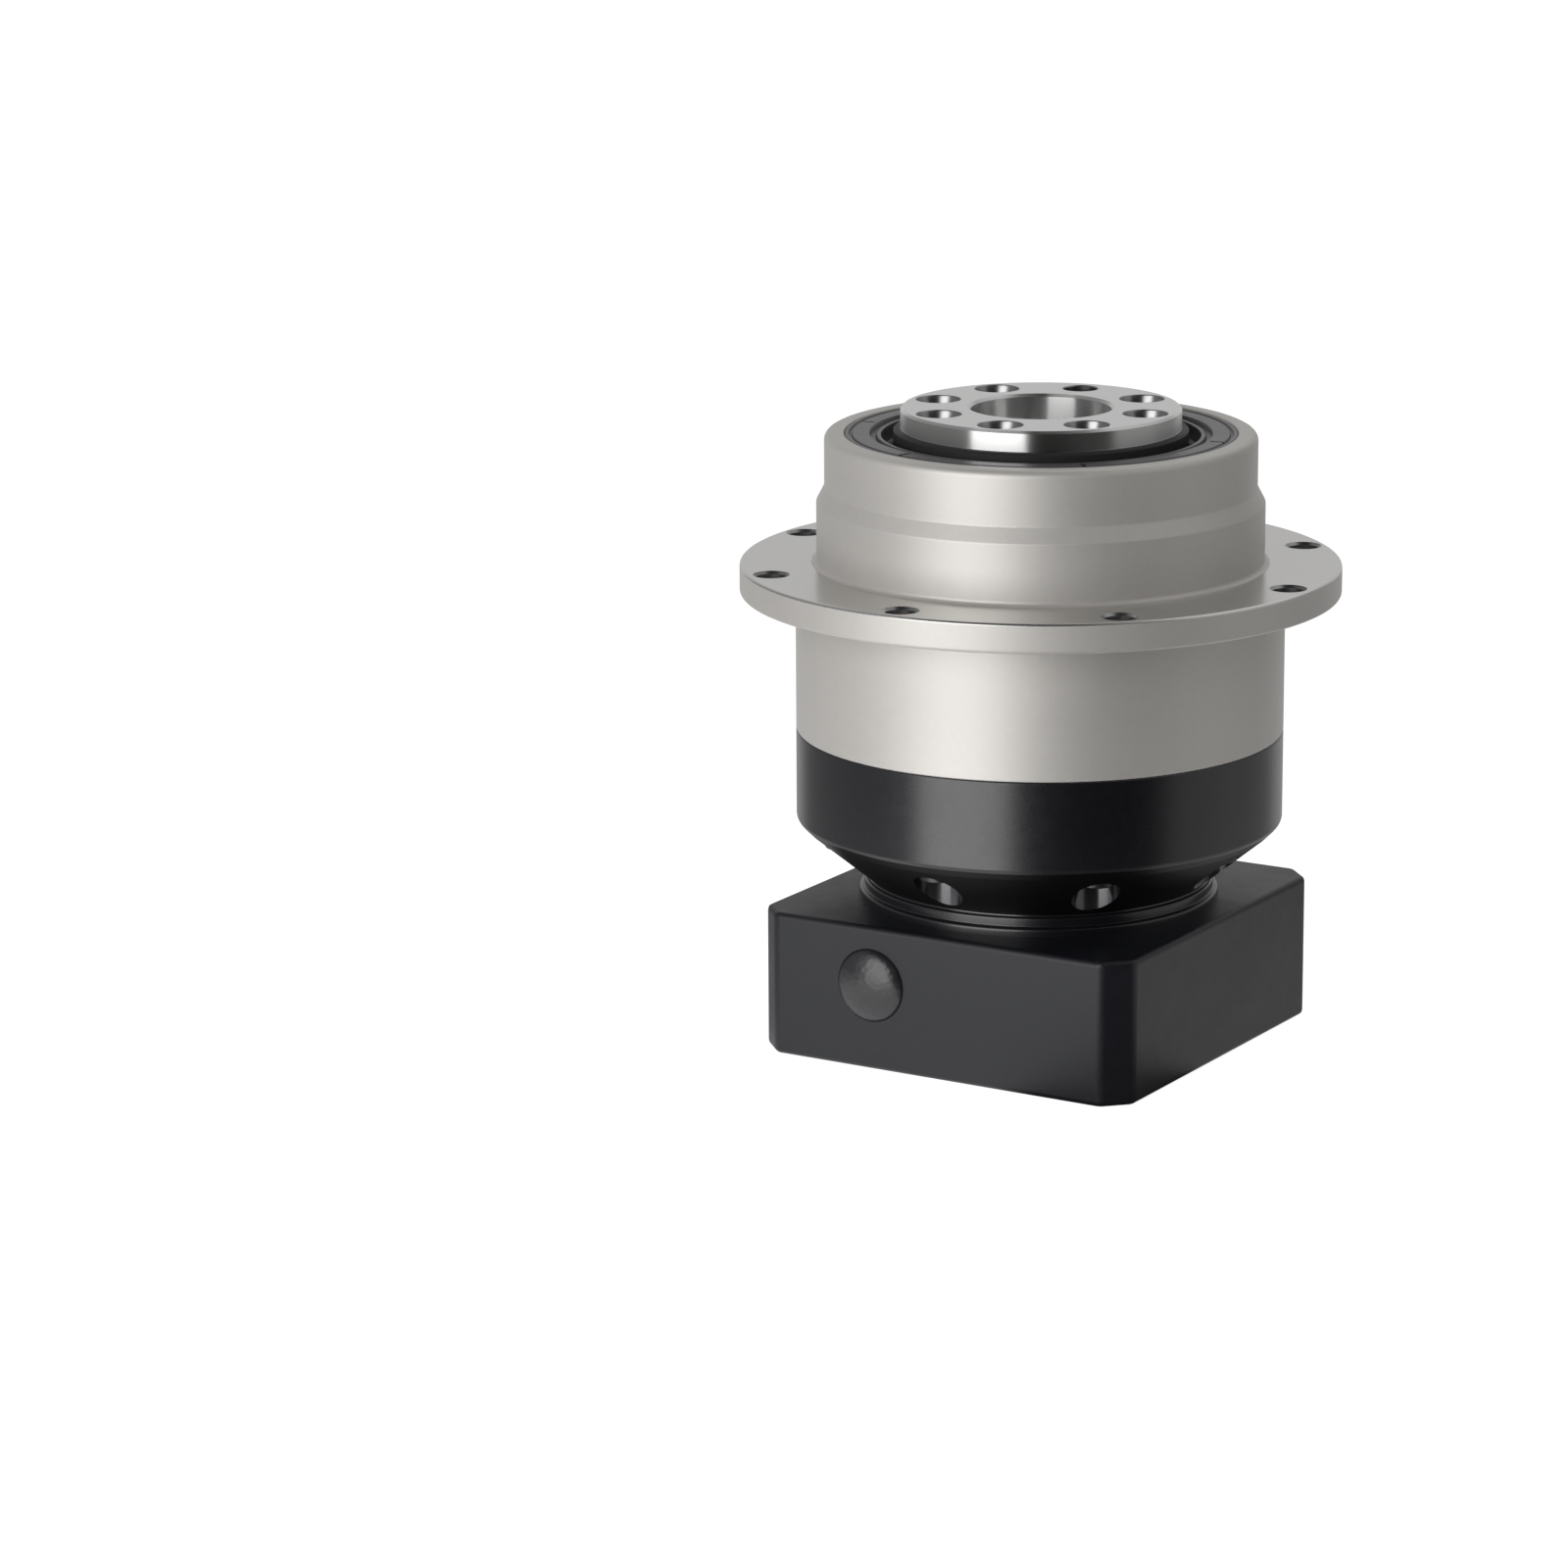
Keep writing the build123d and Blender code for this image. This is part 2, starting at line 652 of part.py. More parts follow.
# Shaft seal on the motor side of the input bearing
input_seal = turned_ring(
    journal_radius + running_gap,
    input_bore_radius - seat_gap,
    input_bore_bottom,
    input_bore_bottom + input_seal_height,
)
save(input_seal, "input_shaft_seal")

# Plug in the access hole, with its bevelled crown level with the face of the block
crown_radius = access_rim_radius - running_gap
stem_radius = access_radius - running_gap
with BuildPart() as access_plug:
    with BuildSketch(access_plane):
        Circle(crown_radius)
    extrude(amount=-access_rim_depth)
    chamfer(access_plug.edges().sort_by(Axis.Y)[0], plug_bevel)
    with BuildSketch(access_plane.offset(-access_rim_depth)):
        Circle(stem_radius)
    extrude(amount=-plug_stem_length)
save(access_plug.part, "access_plug")
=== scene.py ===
"""Planetary gearbox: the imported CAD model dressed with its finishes, fillets, threads and studio."""

import sys
import logging
import math
from collections.abc import Sequence
from dataclasses import dataclass, field
from enum import Enum

import bmesh
import bpy
from mathutils import Matrix, Vector


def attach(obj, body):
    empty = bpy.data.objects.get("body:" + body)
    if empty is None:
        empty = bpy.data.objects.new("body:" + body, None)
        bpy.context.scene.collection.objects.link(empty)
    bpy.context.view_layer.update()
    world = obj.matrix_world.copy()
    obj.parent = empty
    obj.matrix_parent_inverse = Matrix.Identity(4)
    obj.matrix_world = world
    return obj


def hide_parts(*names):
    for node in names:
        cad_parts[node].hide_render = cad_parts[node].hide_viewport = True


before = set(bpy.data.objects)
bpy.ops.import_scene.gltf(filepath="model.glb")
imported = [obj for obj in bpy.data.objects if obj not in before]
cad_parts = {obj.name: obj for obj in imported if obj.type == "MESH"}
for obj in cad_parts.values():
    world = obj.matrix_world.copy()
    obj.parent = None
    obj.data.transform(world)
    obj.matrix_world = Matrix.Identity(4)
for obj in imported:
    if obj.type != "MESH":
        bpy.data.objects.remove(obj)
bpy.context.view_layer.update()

MM = 0.001

# Millimetres that a cutting tool reaches past the face that it opens
SPARE = 1.0

# Millimetres from a hole's wall to the middle of its thread's ridge, and the ridge's radius
THREAD_INSET = 0.08
THREAD_RIDGE = 0.45

# Faces round the axis of each kind of turned shape
BODY_STEPS = 256
RECESS_STEPS = 192
BORE_PLUG_STEPS = 128
ACCESS_STEPS = 96
SCREW_STEPS = 72
HOLE_STEPS = 64
SMALL_HOLE_STEPS = 48
SCREW_WAY_STEPS = 32

MATERIALS: dict[str, bpy.types.Material] = {}
log = logging.getLogger("gearbox")

Object = bpy.types.Object
Socket = bpy.types.NodeSocket
Corner = tuple[float, float, float]
Point = tuple[float, float]
Colour = tuple[float, float, float]


# Node trees


class Value:
    """A number in a node tree that takes part in Python sums."""

    def __init__(self, graph: "Graph", socket: Socket) -> None:
        """Wraps one output socket of a graph."""
        self.graph = graph
        self.socket = socket

    def __add__(self, other: "Value | float") -> "Value":
        """Sum."""
        return self.graph.math("ADD", self, other)

    __radd__ = __add__

    def __sub__(self, other: "Value | float") -> "Value":
        """Difference."""
        return self.graph.math("SUBTRACT", self, other)

    def __rsub__(self, other: float) -> "Value":
        """Difference from a plain number."""
        return self.graph.math("SUBTRACT", other, self)

    def __mul__(self, other: "Value | float") -> "Value":
        """Product."""
        return self.graph.math("MULTIPLY", self, other)

    def __truediv__(self, other: "Value | float") -> "Value":
        """Quotient."""
        return self.graph.math("DIVIDE", self, other)

    def between(self, low: float, high: float) -> "Value":
        """0 below low, 1 above high and a smooth step in between.

        Args:
            low: Where the step starts.
            high: Where it ends.

        Returns:
            The step as a value from 0 to 1.
        """
        sockets = {"Value": self, "From Min": low, "From Max": high}
        node = self.graph.add("ShaderNodeMapRange", sockets, interpolation_type="SMOOTHSTEP")
        return Value(self.graph, node.outputs["Result"])


class Graph:
    """A node tree that grows by one call a node."""

    def __init__(self, tree: bpy.types.NodeTree) -> None:
        """Starts from an existing tree, which is emptied."""
        self.tree = tree
        tree.nodes.clear()

    def add(
        self, kind: str, sockets: dict[str | int, object] | None = None, **settings: object
    ) -> bpy.types.Node:
        """Adds a node.

        Args:
            kind: Blender's type name of the node.
            sockets: Plain values, or values and sockets to link, by input name or number.
            settings: Properties of the node, set before its sockets.

        Returns:
            The new node.
        """
        node = self.tree.nodes.new(kind)
        for name, value in settings.items():
            setattr(node, name, value)
        for name, value in (sockets or {}).items():
            if isinstance(value, Value):
                value = value.socket
            if isinstance(value, Socket):
                self.tree.links.new(value, node.inputs[name])
            else:
                node.inputs[name].default_value = value
        return node

    def math(self, operation: str, *terms: "Value | float") -> Value:
        """One Math node.

        Args:
            operation: The node's operation.
            terms: Its inputs in order.

        Returns:
            Its result.
        """
        node = self.add("ShaderNodeMath", dict(enumerate(terms)), operation=operation)
        return Value(self, node.outputs[0])

    def scaled(self, vector: object, factor: "Value | float") -> Socket:
        """A vector or colour times a number.

        Args:
            vector: The vector, or the socket that gives it.
            factor: The number.

        Returns:
            The output socket.
        """
        sockets = {0: vector, "Scale": factor}
        return self.add("ShaderNodeVectorMath", sockets, operation="SCALE").outputs[0]


# Shapes


def rounded(corners: Sequence[Corner], steps: int = 5) -> list[Point]:
    """Points of a closed profile whose corners are rounded.

    Args:
        corners: (radius, height, fillet) of each corner in millimetres.
        steps: Straight runs in each fillet.

    Returns:
        The points in order.
    """
    points: list[Point] = []
    for k, (r, z, fillet) in enumerate(corners):
        if fillet <= 0:
            points.append((r, z))
            continue
        here = Vector((r, z))
        before = (Vector(corners[k - 1][:2]) - here).normalized()
        after = (Vector(corners[(k + 1) % len(corners)][:2]) - here).normalized()
        half = before.angle(after) / 2
        centre = here + (before + after).normalized() * fillet / math.sin(half)
        start = here + before * fillet / math.tan(half) - centre
        end = here + after * fillet / math.tan(half) - centre
        first = math.atan2(start.y, start.x)
        sweep = (math.atan2(end.y, end.x) - first + math.pi) % (2 * math.pi) - math.pi
        for step in range(steps + 1):
            angle = first + sweep * step / steps
            points.append((centre.x + fillet * math.cos(angle), centre.y + fillet * math.sin(angle)))
    return points


def new_object(name: str, mesh: bpy.types.Mesh) -> Object:
    """Object in the scene that holds a mesh.

    Args:
        name: Name of the object and its mesh.
        mesh: The mesh.

    Returns:
        The linked object.
    """
    mesh.name = name
    made = bpy.data.objects.new(name, mesh)
    bpy.context.scene.collection.objects.link(made)
    return made


def from_work(name: str, work: bmesh.types.BMesh) -> Object:
    """Object made from a working mesh, which is freed.

    Args:
        name: Name of the object.
        work: The working mesh, in metres.

    Returns:
        The new object.
    """
    mesh = bpy.data.meshes.new(name)
    work.to_mesh(mesh)
    work.free()
    return new_object(name, mesh)


def face_outwards(mesh: bpy.types.Mesh) -> None:
    """Merges doubles and turns the faces outwards.

    Args:
        mesh: The mesh, which is changed.
    """
    work = bmesh.new()
    work.from_mesh(mesh)
    bmesh.ops.remove_doubles(work, verts=work.verts, dist=1e-7)
    bmesh.ops.recalc_face_normals(work, faces=work.faces)
    work.to_mesh(mesh)
    work.free()


def spun(name: str, profile: Sequence[Point], steps: int = RECESS_STEPS) -> Object:
    """Closed solid of revolution about Z.

    Args:
        name: Name of the object.
        profile: Points (radius, height) of the closed profile in millimetres.
        steps: Faces around the axis.

    Returns:
        The new object, in metres.
    """
    points: list[tuple[float, float, float]] = []
    rings: list[list[int]] = []
    for r, z in profile:
        count = steps if r > 1e-6 else 1
        rings.append(list(range(len(points), len(points) + count)))
        for k in range(count):
            angle = 2 * math.pi * k / steps
            points.append((r * MM * math.cos(angle), r * MM * math.sin(angle), z * MM))
    faces: list[tuple[int, ...]] = []
    for k, low in enumerate(rings):
        high = rings[(k + 1) % len(rings)]
        if len(low) == 1 and len(high) == 1:
            continue
        for s in range(steps):
            t = (s + 1) % steps
            corners = (low[s % len(low)], low[t % len(low)], high[t % len(high)], high[s % len(high)])
            faces.append(tuple(dict.fromkeys(corners)))
    mesh = bpy.data.meshes.new(name)
    mesh.from_pydata(points, [], faces)
    face_outwards(mesh)
    return new_object(name, mesh)


def column(name: str, radius: float, low: float, high: float, steps: int) -> Object:
    """Plain cylinder about Z.

    Args:
        name: Name of the object.
        radius: Its radius in millimetres.
        low: Height of its lower end.
        high: Height of its upper end.
        steps: Faces around the axis.

    Returns:
        The new object.
    """
    return spun(name, [(0, low), (radius, low), (radius, high), (0, high)], steps)


def settle(piece: Object) -> Object:
    """Turns a piece with its modifiers into a plain mesh.

    Args:
        piece: The object, which keeps its name.

    Returns:
        The same object.
    """
    graph = bpy.context.evaluated_depsgraph_get()
    mesh = bpy.data.meshes.new_from_object(piece.evaluated_get(graph))
    old = piece.data
    piece.modifiers.clear()
    piece.data = mesh
    bpy.data.meshes.remove(old)
    mesh.name = piece.name
    return piece


class Cut(Enum):
    """What a tool does to the body that it meets."""

    AWAY = "DIFFERENCE"
    JOIN = "UNION"


def carve(body: Object, tool: Object, how: Cut = Cut.AWAY) -> None:
    """Cuts a tool out of a body or joins it on, and removes the tool.

    Args:
        body: The object that is changed.
        tool: The closed solid that is used up.
        how: Cut or join.
    """
    modifier = body.modifiers.new("carve", "BOOLEAN")
    modifier.operation = how.value
    modifier.solver = "EXACT"
    modifier.object = tool
    settle(body)
    bpy.data.objects.remove(tool)


def smooth(piece: Object, sharp_above: float = 32.0) -> None:
    """Shades a piece smooth, with clean flats and crisp edges.

    Args:
        piece: The object.
        sharp_above: Edges that turn by more degrees stay sharp.
    """
    piece.data.shade_smooth()
    piece.data.set_sharp_from_angle(angle=math.radians(sharp_above))
    modifier = piece.modifiers.new("flats", "WEIGHTED_NORMAL")
    modifier.mode = "FACE_AREA"
    modifier.keep_sharp = True
    settle(piece)


# Geometry nodes


class Repeats:
    """Geometry Nodes trees that repeat a shape or follow a helix."""

    def __init__(self) -> None:
        """Builds the trees once."""
        self.ring = self._ring_tree()
        self.helix = self._helix_tree()

    @staticmethod
    def _start(name: str, sizes: dict[str, int | float | None]) -> tuple[Graph, dict[str, Value]]:
        """Empty tree with its group input.

        Args:
            name: Name of the tree.
            sizes: Default of each named input after the geometry; None is a material's.

        Returns:
            The graph and its inputs by name.
        """
        tree = bpy.data.node_groups.new(name, "GeometryNodeTree")
        tree.interface.new_socket("Geometry", in_out="OUTPUT", socket_type="NodeSocketGeometry")
        tree.interface.new_socket("Geometry", in_out="INPUT", socket_type="NodeSocketGeometry")
        kinds = {int: "NodeSocketInt", float: "NodeSocketFloat", type(None): "NodeSocketMaterial"}
        for label, value in sizes.items():
            kind = kinds[type(value)]
            socket = tree.interface.new_socket(label, in_out="INPUT", socket_type=kind)
            if value is not None:
                socket.default_value = value
        graph = Graph(tree)
        given = graph.add("NodeGroupInput").outputs
        return graph, {name: Value(graph, given[name]) for name in ("Geometry", *sizes)}

    @staticmethod
    def _end(graph: Graph, geometry: Socket, material: Value) -> None:
        """Realizes the instances, sets the material and closes the tree.

        Args:
            graph: The tree.
            geometry: What it has made.
            material: The material input.
        """
        real = graph.add("GeometryNodeRealizeInstances", {"Geometry": geometry})
        done = graph.add(
            "GeometryNodeSetMaterial", {"Geometry": real.outputs[0], "Material": material}
        )
        graph.add("NodeGroupOutput", {"Geometry": done.outputs[0]})

    def _ring_tree(self) -> bpy.types.NodeTree:
        """Copies of the piece's own mesh on a circle about Z, each turned with its place."""
        graph, given = self._start(
            "ring_of_copies",
            {"Count": 8, "Circle": 0.03, "Phase": 0.0, "Left Out": -1, "Material": None},
        )
        count, circle = given["Count"], given["Circle"]
        index = Value(graph, graph.add("GeometryNodeInputIndex").outputs[0])
        turn = index / count * (2 * math.pi) + given["Phase"]
        line = graph.add("GeometryNodeMeshLine", {"Count": count, "Offset": (0, 0, 0)})
        place = graph.add(
            "ShaderNodeCombineXYZ",
            {0: circle * graph.math("COSINE", turn), 1: circle * graph.math("SINE", turn)},
        )
        spread = graph.add(
            "GeometryNodeSetPosition", {"Geometry": line.outputs[0], "Position": place.outputs[0]}
        )
        left_out = graph.math("COMPARE", index, given["Left Out"], 0.5)
        facing = graph.add("ShaderNodeCombineXYZ", {2: turn})
        copies = graph.add(
            "GeometryNodeInstanceOnPoints",
            {
                "Points": spread.outputs[0],
                "Selection": 1 - left_out,
                "Instance": given["Geometry"],
                "Rotation": facing.outputs[0],
            },
        )
        self._end(graph, copies.outputs[0], given["Material"])
        return graph.tree

    def _helix_tree(self) -> bpy.types.NodeTree:
        """Three-sided ridge of a screw thread, wound about Z."""
        graph, given = self._start(
            "thread_ridge",
            {
                "Radius": 0.0025, "Pitch": 0.0008, "Bottom": 0.0, "Turns": 8.0, "Ridge": 0.0005,
                "Material": None,
            },
        )
        radius, turns = given["Radius"], given["Turns"]
        spiral = graph.add(
            "GeometryNodeCurveSpiral",
            {
                "Resolution": 28,
                "Rotations": turns,
                "Start Radius": radius,
                "End Radius": radius,
                "Height": turns * given["Pitch"],
            },
        )
        lift = graph.add("ShaderNodeCombineXYZ", {2: given["Bottom"]})
        moved = graph.add(
            "GeometryNodeSetPosition", {"Geometry": spiral.outputs[0], "Offset": lift.outputs[0]}
        )
        corners = {"Resolution": 4, "Radius": given["Ridge"]}
        ridge = graph.add("GeometryNodeCurvePrimitiveCircle", corners, mode="RADIUS")
        swept = graph.add(
            "GeometryNodeCurveToMesh",
            {"Curve": moved.outputs[0], "Profile Curve": ridge.outputs[0], "Fill Caps": True},
        )
        self._end(graph, swept.outputs[0], given["Material"])
        return graph.tree

    @staticmethod
    def apply(piece: Object, tree: bpy.types.NodeTree, sizes: dict[str, object]) -> Object:
        """Runs a tree on a piece and leaves a plain mesh.

        Args:
            piece: The object.
            tree: One of the trees.
            sizes: Values of the tree's named inputs.

        Returns:
            The same object.
        """
        modifier = piece.modifiers.new(tree.name, "NODES")
        modifier.node_group = tree
        for item in tree.interface.items_tree:
            if item.item_type == "SOCKET" and item.in_out == "INPUT" and item.name in sizes:
                modifier[item.identifier] = sizes[item.name]
        return settle(piece)

    def around(
        self,
        piece: Object,
        count: int,
        circle: float,
        phase: float = 0.0,
        left_out: int = -1,
        material: bpy.types.Material | None = None,
    ) -> Object:
        """Repeats a piece on a circle about the main axis.

        Args:
            piece: The object, made about Z.
            count: Places on the circle.
            circle: Radius of the circle in millimetres.
            phase: Degrees from +X to the first place.
            left_out: Number of the place that stays empty.
            material: Finish of the copies.

        Returns:
            The same object, with every copy in its mesh.
        """
        sizes = {
            "Count": count,
            "Circle": circle * MM,
            "Phase": math.radians(phase),
            "Left Out": left_out,
            "Material": material,
        }
        return self.apply(piece, self.ring, sizes)

    def thread(self, name: str, radius: float, pitch: float, low: float, high: float) -> Object:
        """Ridge of an internal thread about Z.

        Args:
            name: Name of the object.
            radius: Radius of the hole's wall in millimetres.
            pitch: Rise of one turn.
            low: Height where the thread starts.
            high: Height where it ends.

        Returns:
            The new object.
        """
        piece = new_object(name, bpy.data.meshes.new(name))
        sizes = {
            "Radius": (radius + THREAD_INSET) * MM,
            "Pitch": pitch * MM,
            "Bottom": low * MM,
            "Turns": (high - low) / pitch,
            "Ridge": THREAD_RIDGE * MM,
            "Material": None,
        }
        self.apply(piece, self.helix, sizes)
        face_outwards(piece.data)
        return piece


# Finishes


class Grain(Enum):
    """Texture that the maker's process leaves."""

    BLASTED = "blasted"
    TURNED = "turned"
    MOULDED = "moulded"


@dataclass(frozen=True)
class Finish:
    """Look of one surface; lengths in millimetres."""

    name: str
    colour: Colour
    metallic: float
    roughness: float
    grain: Grain
    grain_size: float
    grain_depth: float
    roughness_spread: float = 0.05
    tint: float = 0.06
    specular: float = 0.5
    brushed: float = 0.0

    def material(self) -> bpy.types.Material:
        """Node material of this finish.

        Returns:
            The material, made on the first call.
        """
        if self.name in MATERIALS:
            return MATERIALS[self.name]
        made = bpy.data.materials.new(self.name)
        MATERIALS[self.name] = made
        made.use_nodes = True
        graph = Graph(made.node_tree)
        place = graph.add("ShaderNodeTexCoord").outputs["Object"]
        scaled = graph.scaled(place, 1 / MM)
        fine = self._height(graph, scaled)
        broad = self._noise(graph, scaled, 0.07, 2.0)
        middle = self._noise(graph, scaled, 0.9 / self.grain_size * 0.25, 3.0)
        rough = (broad - 0.5) * self.roughness_spread + (middle - 0.5) * self.roughness_spread
        rough = rough + self.roughness
        shade = (broad - 0.5) * self.tint + (middle - 0.5) * self.tint + (fine - 0.5) * self.tint + 1.0
        colour = graph.scaled(self.colour, shade)
        bump = graph.add(
            "ShaderNodeBump",
            {"Strength": 1.0, "Distance": self.grain_depth * MM, "Height": fine},
        ).outputs[0]
        shader = graph.add(
            "ShaderNodeBsdfPrincipled",
            {
                "Base Color": colour,
                "Metallic": self.metallic,
                "Roughness": rough,
                "Specular IOR Level": self.specular,
                "Anisotropic": self.brushed,
                "Anisotropic Rotation": 0.25 if self.brushed else 0.0,
                "Normal": bump,
            },
        ).outputs[0]
        graph.add("ShaderNodeOutputMaterial", {"Surface": shader})
        return made

    @staticmethod
    def _noise(graph: Graph, place: Socket, scale: float, detail: float) -> Value:
        """Noise in space.

        Args:
            graph: The material's graph.
            place: Coordinates in millimetres.
            scale: Waves for each millimetre.
            detail: Octaves.

        Returns:
            A value from 0 to 1.
        """
        sockets = {"Vector": place, "Scale": scale, "Detail": detail}
        node = graph.add("ShaderNodeTexNoise", sockets, noise_dimensions="3D")
        return Value(graph, node.outputs[0])

    def _height(self, graph: Graph, place: Socket) -> Value:
        """Height of the process's own texture.

        Args:
            graph: The material's graph.
            place: Coordinates in millimetres.

        Returns:
            A value from 0 to 1.
        """
        if self.grain is not Grain.TURNED:
            detail = 2.0 if self.grain is Grain.BLASTED else 0.5
            return self._noise(graph, place, 1 / self.grain_size, detail)
        split = graph.add("ShaderNodeSeparateXYZ", {0: place})
        x, y, z = (Value(graph, split.outputs[k]) for k in range(3))
        radius = graph.math("SQRT", x * x + y * y)
        along = (radius + z * 1.37) / self.grain_size
        sockets = {"W": along, "Scale": 1.0, "Detail": 3.0}
        lines = graph.add("ShaderNodeTexNoise", sockets, noise_dimensions="1D")
        return Value(graph, lines.outputs[0])


SILVER = Finish("silver_satin", (0.66, 0.638, 0.608), 0.5, 0.5, Grain.BLASTED, 0.28, 0.006)
SILVER_TURNED = Finish("silver_turned_face", (0.66, 0.65, 0.63), 0.9, 0.24, Grain.TURNED, 0.12, 0.001)
BLACK = Finish("black_milled", (0.008, 0.0085, 0.013), 0.0, 0.42, Grain.BLASTED, 0.5, 0.012, 0.1, 0.5)
BLACK_TURNED = Finish(
    "black_turned", (0.007, 0.0072, 0.0095), 0.0, 0.27, Grain.TURNED, 0.35, 0.0015, 0.06, 0.1, 0.8
)
# Painted shade: a darker, less reflective black for the downward faces of the cone and pocket tops under
# the ring.
SHADED_CONE = Finish(
    "cone_painted_shade", (0.003, 0.003, 0.0035), 0.0, 0.4, Grain.TURNED, 0.5, 0.001, 0.05, 0.1, 0.3
)
POCKET = Finish("pocket_wall", (0.1, 0.1, 0.105), 0.9, 0.18, Grain.BLASTED, 0.4, 0.001, 0.04, 0.1)
BRIGHT = Finish(
    "bright_turned", (0.72, 0.715, 0.71), 1.0, 0.3, Grain.TURNED, 0.25, 0.0006, 0.02, 0.03, 0.5, 1.0
)
BRIGHT_FACE = Finish(
    "bright_faced", (0.72, 0.715, 0.71), 1.0, 0.26, Grain.TURNED, 0.09, 0.001, 0.03, 0.04
)
# Painted shade: hole walls and lead-ins get a darker grey than the silver and bright steel around them.
SHADED_HOLE = Finish("tapped_hole", (0.38, 0.38, 0.38), 1.0, 0.3, Grain.BLASTED, 0.3, 0.001, 0.03)
# Painted shade: near-black on the disc's shoulder and journal, standing in for the dark gap between the
# disc and the seal.
SHADED_JOURNAL = Finish("journal_painted_shade", (0.04, 0.04, 0.041), 0.2, 0.5, Grain.TURNED, 0.3, 0.001, 0.05, 0.1, 0.2)
DISHED = Finish("pressed_plug", (0.74, 0.74, 0.745), 1.0, 0.24, Grain.BLASTED, 0.8, 0.006)
RUBBER = Finish("moulded_rubber", (0.085, 0.085, 0.086), 0.0, 0.34, Grain.MOULDED, 0.5, 0.004, 0.08, 0.1)
PLUG = Finish(
    "speckled_plastic", (0.022, 0.022, 0.025), 0.0, 0.3, Grain.MOULDED, 0.7, 0.05, 0.1, 0.5, 0.7
)
OXIDE = Finish("black_oxide", (0.06, 0.06, 0.062), 0.8, 0.36, Grain.BLASTED, 0.3, 0.003)
SCREW = Finish("plated_screw", (0.45, 0.45, 0.45), 1.0, 0.25, Grain.BLASTED, 0.3, 0.003)
GEAR = Finish("ground_gear", (0.42, 0.42, 0.43), 1.0, 0.3, Grain.BLASTED, 0.2, 0.003)
BEARING = Finish("polished_race", (0.66, 0.66, 0.67), 1.0, 0.14, Grain.TURNED, 0.1, 0.001, 0.03, 0.03)
SHAFT = Finish("turned_shaft", (0.6, 0.6, 0.61), 1.0, 0.24, Grain.TURNED, 0.14, 0.003)
BRONZE = Finish("bush_bronze", (0.55, 0.34, 0.15), 1.0, 0.32, Grain.BLASTED, 0.25, 0.004)


# The gearbox


@dataclass
class Piece:
    """A sub-assembly that makes one shown piece for one CAD node."""

    repeats: Repeats
    name: str = ""
    body: str = "housing"
    node: str = ""
    slot: str = ""

    def place(self, made: Object, *finishes: Finish) -> None:
        """Dresses a finished mesh and puts it in place of its CAD node.

        Args:
            made: The object.
            finishes: Its finishes, in the order of its material slots.
        """
        if finishes:
            made.data.materials.clear()
            for finish in finishes:
                made.data.materials.append(finish.material())
        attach(made, self.body)
        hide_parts(self.node)
        log.info("%s: %d faces", made.name, len(made.data.polygons))


@dataclass
class GearHousing(Piece):
    """Silver housing with its mounting flange and centring pilot."""

    name: str = "gear_housing_shell"
    node: str = "gear_housing"
    slot: str = "silver_housing"
    bottom: float = 45.6
    body_radius: float = 35.0
    bore_radius: float = 26.5
    flange_low: float = 65.5
    flange_high: float = 69.8
    flange_radius: float = 43.0
    pilot_radius: float = 32.0
    pilot_top: float = 78.5
    nose_low: float = 80.7
    nose_radius: float = 30.85
    top: float = 88.5
    seal_radius: float = 28.0
    seal_bottom: float = 81.4
    hole_radius: float = 2.25
    holes: int = 8
    hole_circle: float = 39.5
    hole_chamfer: float = 0.4
    screws: int = 8
    screw_circle: float = 29.0
    screw_radius: float = 1.52
    screw_hole_top: float = 53.8
    rim: float = 1.1

    def build(self) -> None:
        """Turned shell with its flange holes and screw holes."""
        profile = [
            (self.bore_radius, self.bottom, 0.2), (self.body_radius, self.bottom, 0.25),
            (self.body_radius, self.flange_low, 0.4), (self.flange_radius, self.flange_low, 0.5),
            (self.flange_radius, self.flange_high, 0.5), (self.pilot_radius, self.flange_high, 0.7),
            (self.pilot_radius, self.pilot_top, 0.6), (self.nose_radius, self.nose_low, 0.6),
            (self.nose_radius, self.top, self.rim), (self.seal_radius, self.top, 0.25),
            (self.seal_radius, self.seal_bottom, 0), (self.bore_radius, self.seal_bottom, 0.2),
        ]
        shell = spun(self.name, rounded(profile), BODY_STEPS)
        low, high, r, c = self.flange_low, self.flange_high, self.hole_radius, self.hole_chamfer
        profile = [
            (0, low - SPARE), (r + c + SPARE, low - SPARE), (r, low + c),
            (r, high - c), (r + c + SPARE, high + SPARE), (0, high + SPARE),
        ]
        through = spun("flange_hole", profile, SMALL_HOLE_STEPS)
        carve(shell, self.repeats.around(through, self.holes, self.hole_circle))
        b, s, t = self.bottom, self.screw_radius, self.screw_hole_top
        tapped = spun(
            "screw_hole",
            [(0, b - SPARE), (s + 1.3, b - SPARE), (s, b + 0.3), (s, t - 0.5), (0, t)],
            SCREW_WAY_STEPS,
        )
        carve(shell, self.repeats.around(tapped, self.screws, self.screw_circle))
        smooth(shell)
        self.place(shell, SILVER, SILVER_TURNED, SHADED_HOLE)
        for face in shell.data.polygons:
            middle = face.center / MM
            out = middle.xy.length
            in_hole = low < middle.z < high + 0.1 and abs(out - self.hole_circle) < r + c
            # Flange hole walls take the darker grey: painted shade inside the holes.
            if in_hole and face.normal.z < 0.9:
                face.material_index = 2
            elif abs(middle.z - high) < 0.3 and out > self.pilot_radius + 0.6:
                face.material_index = 1


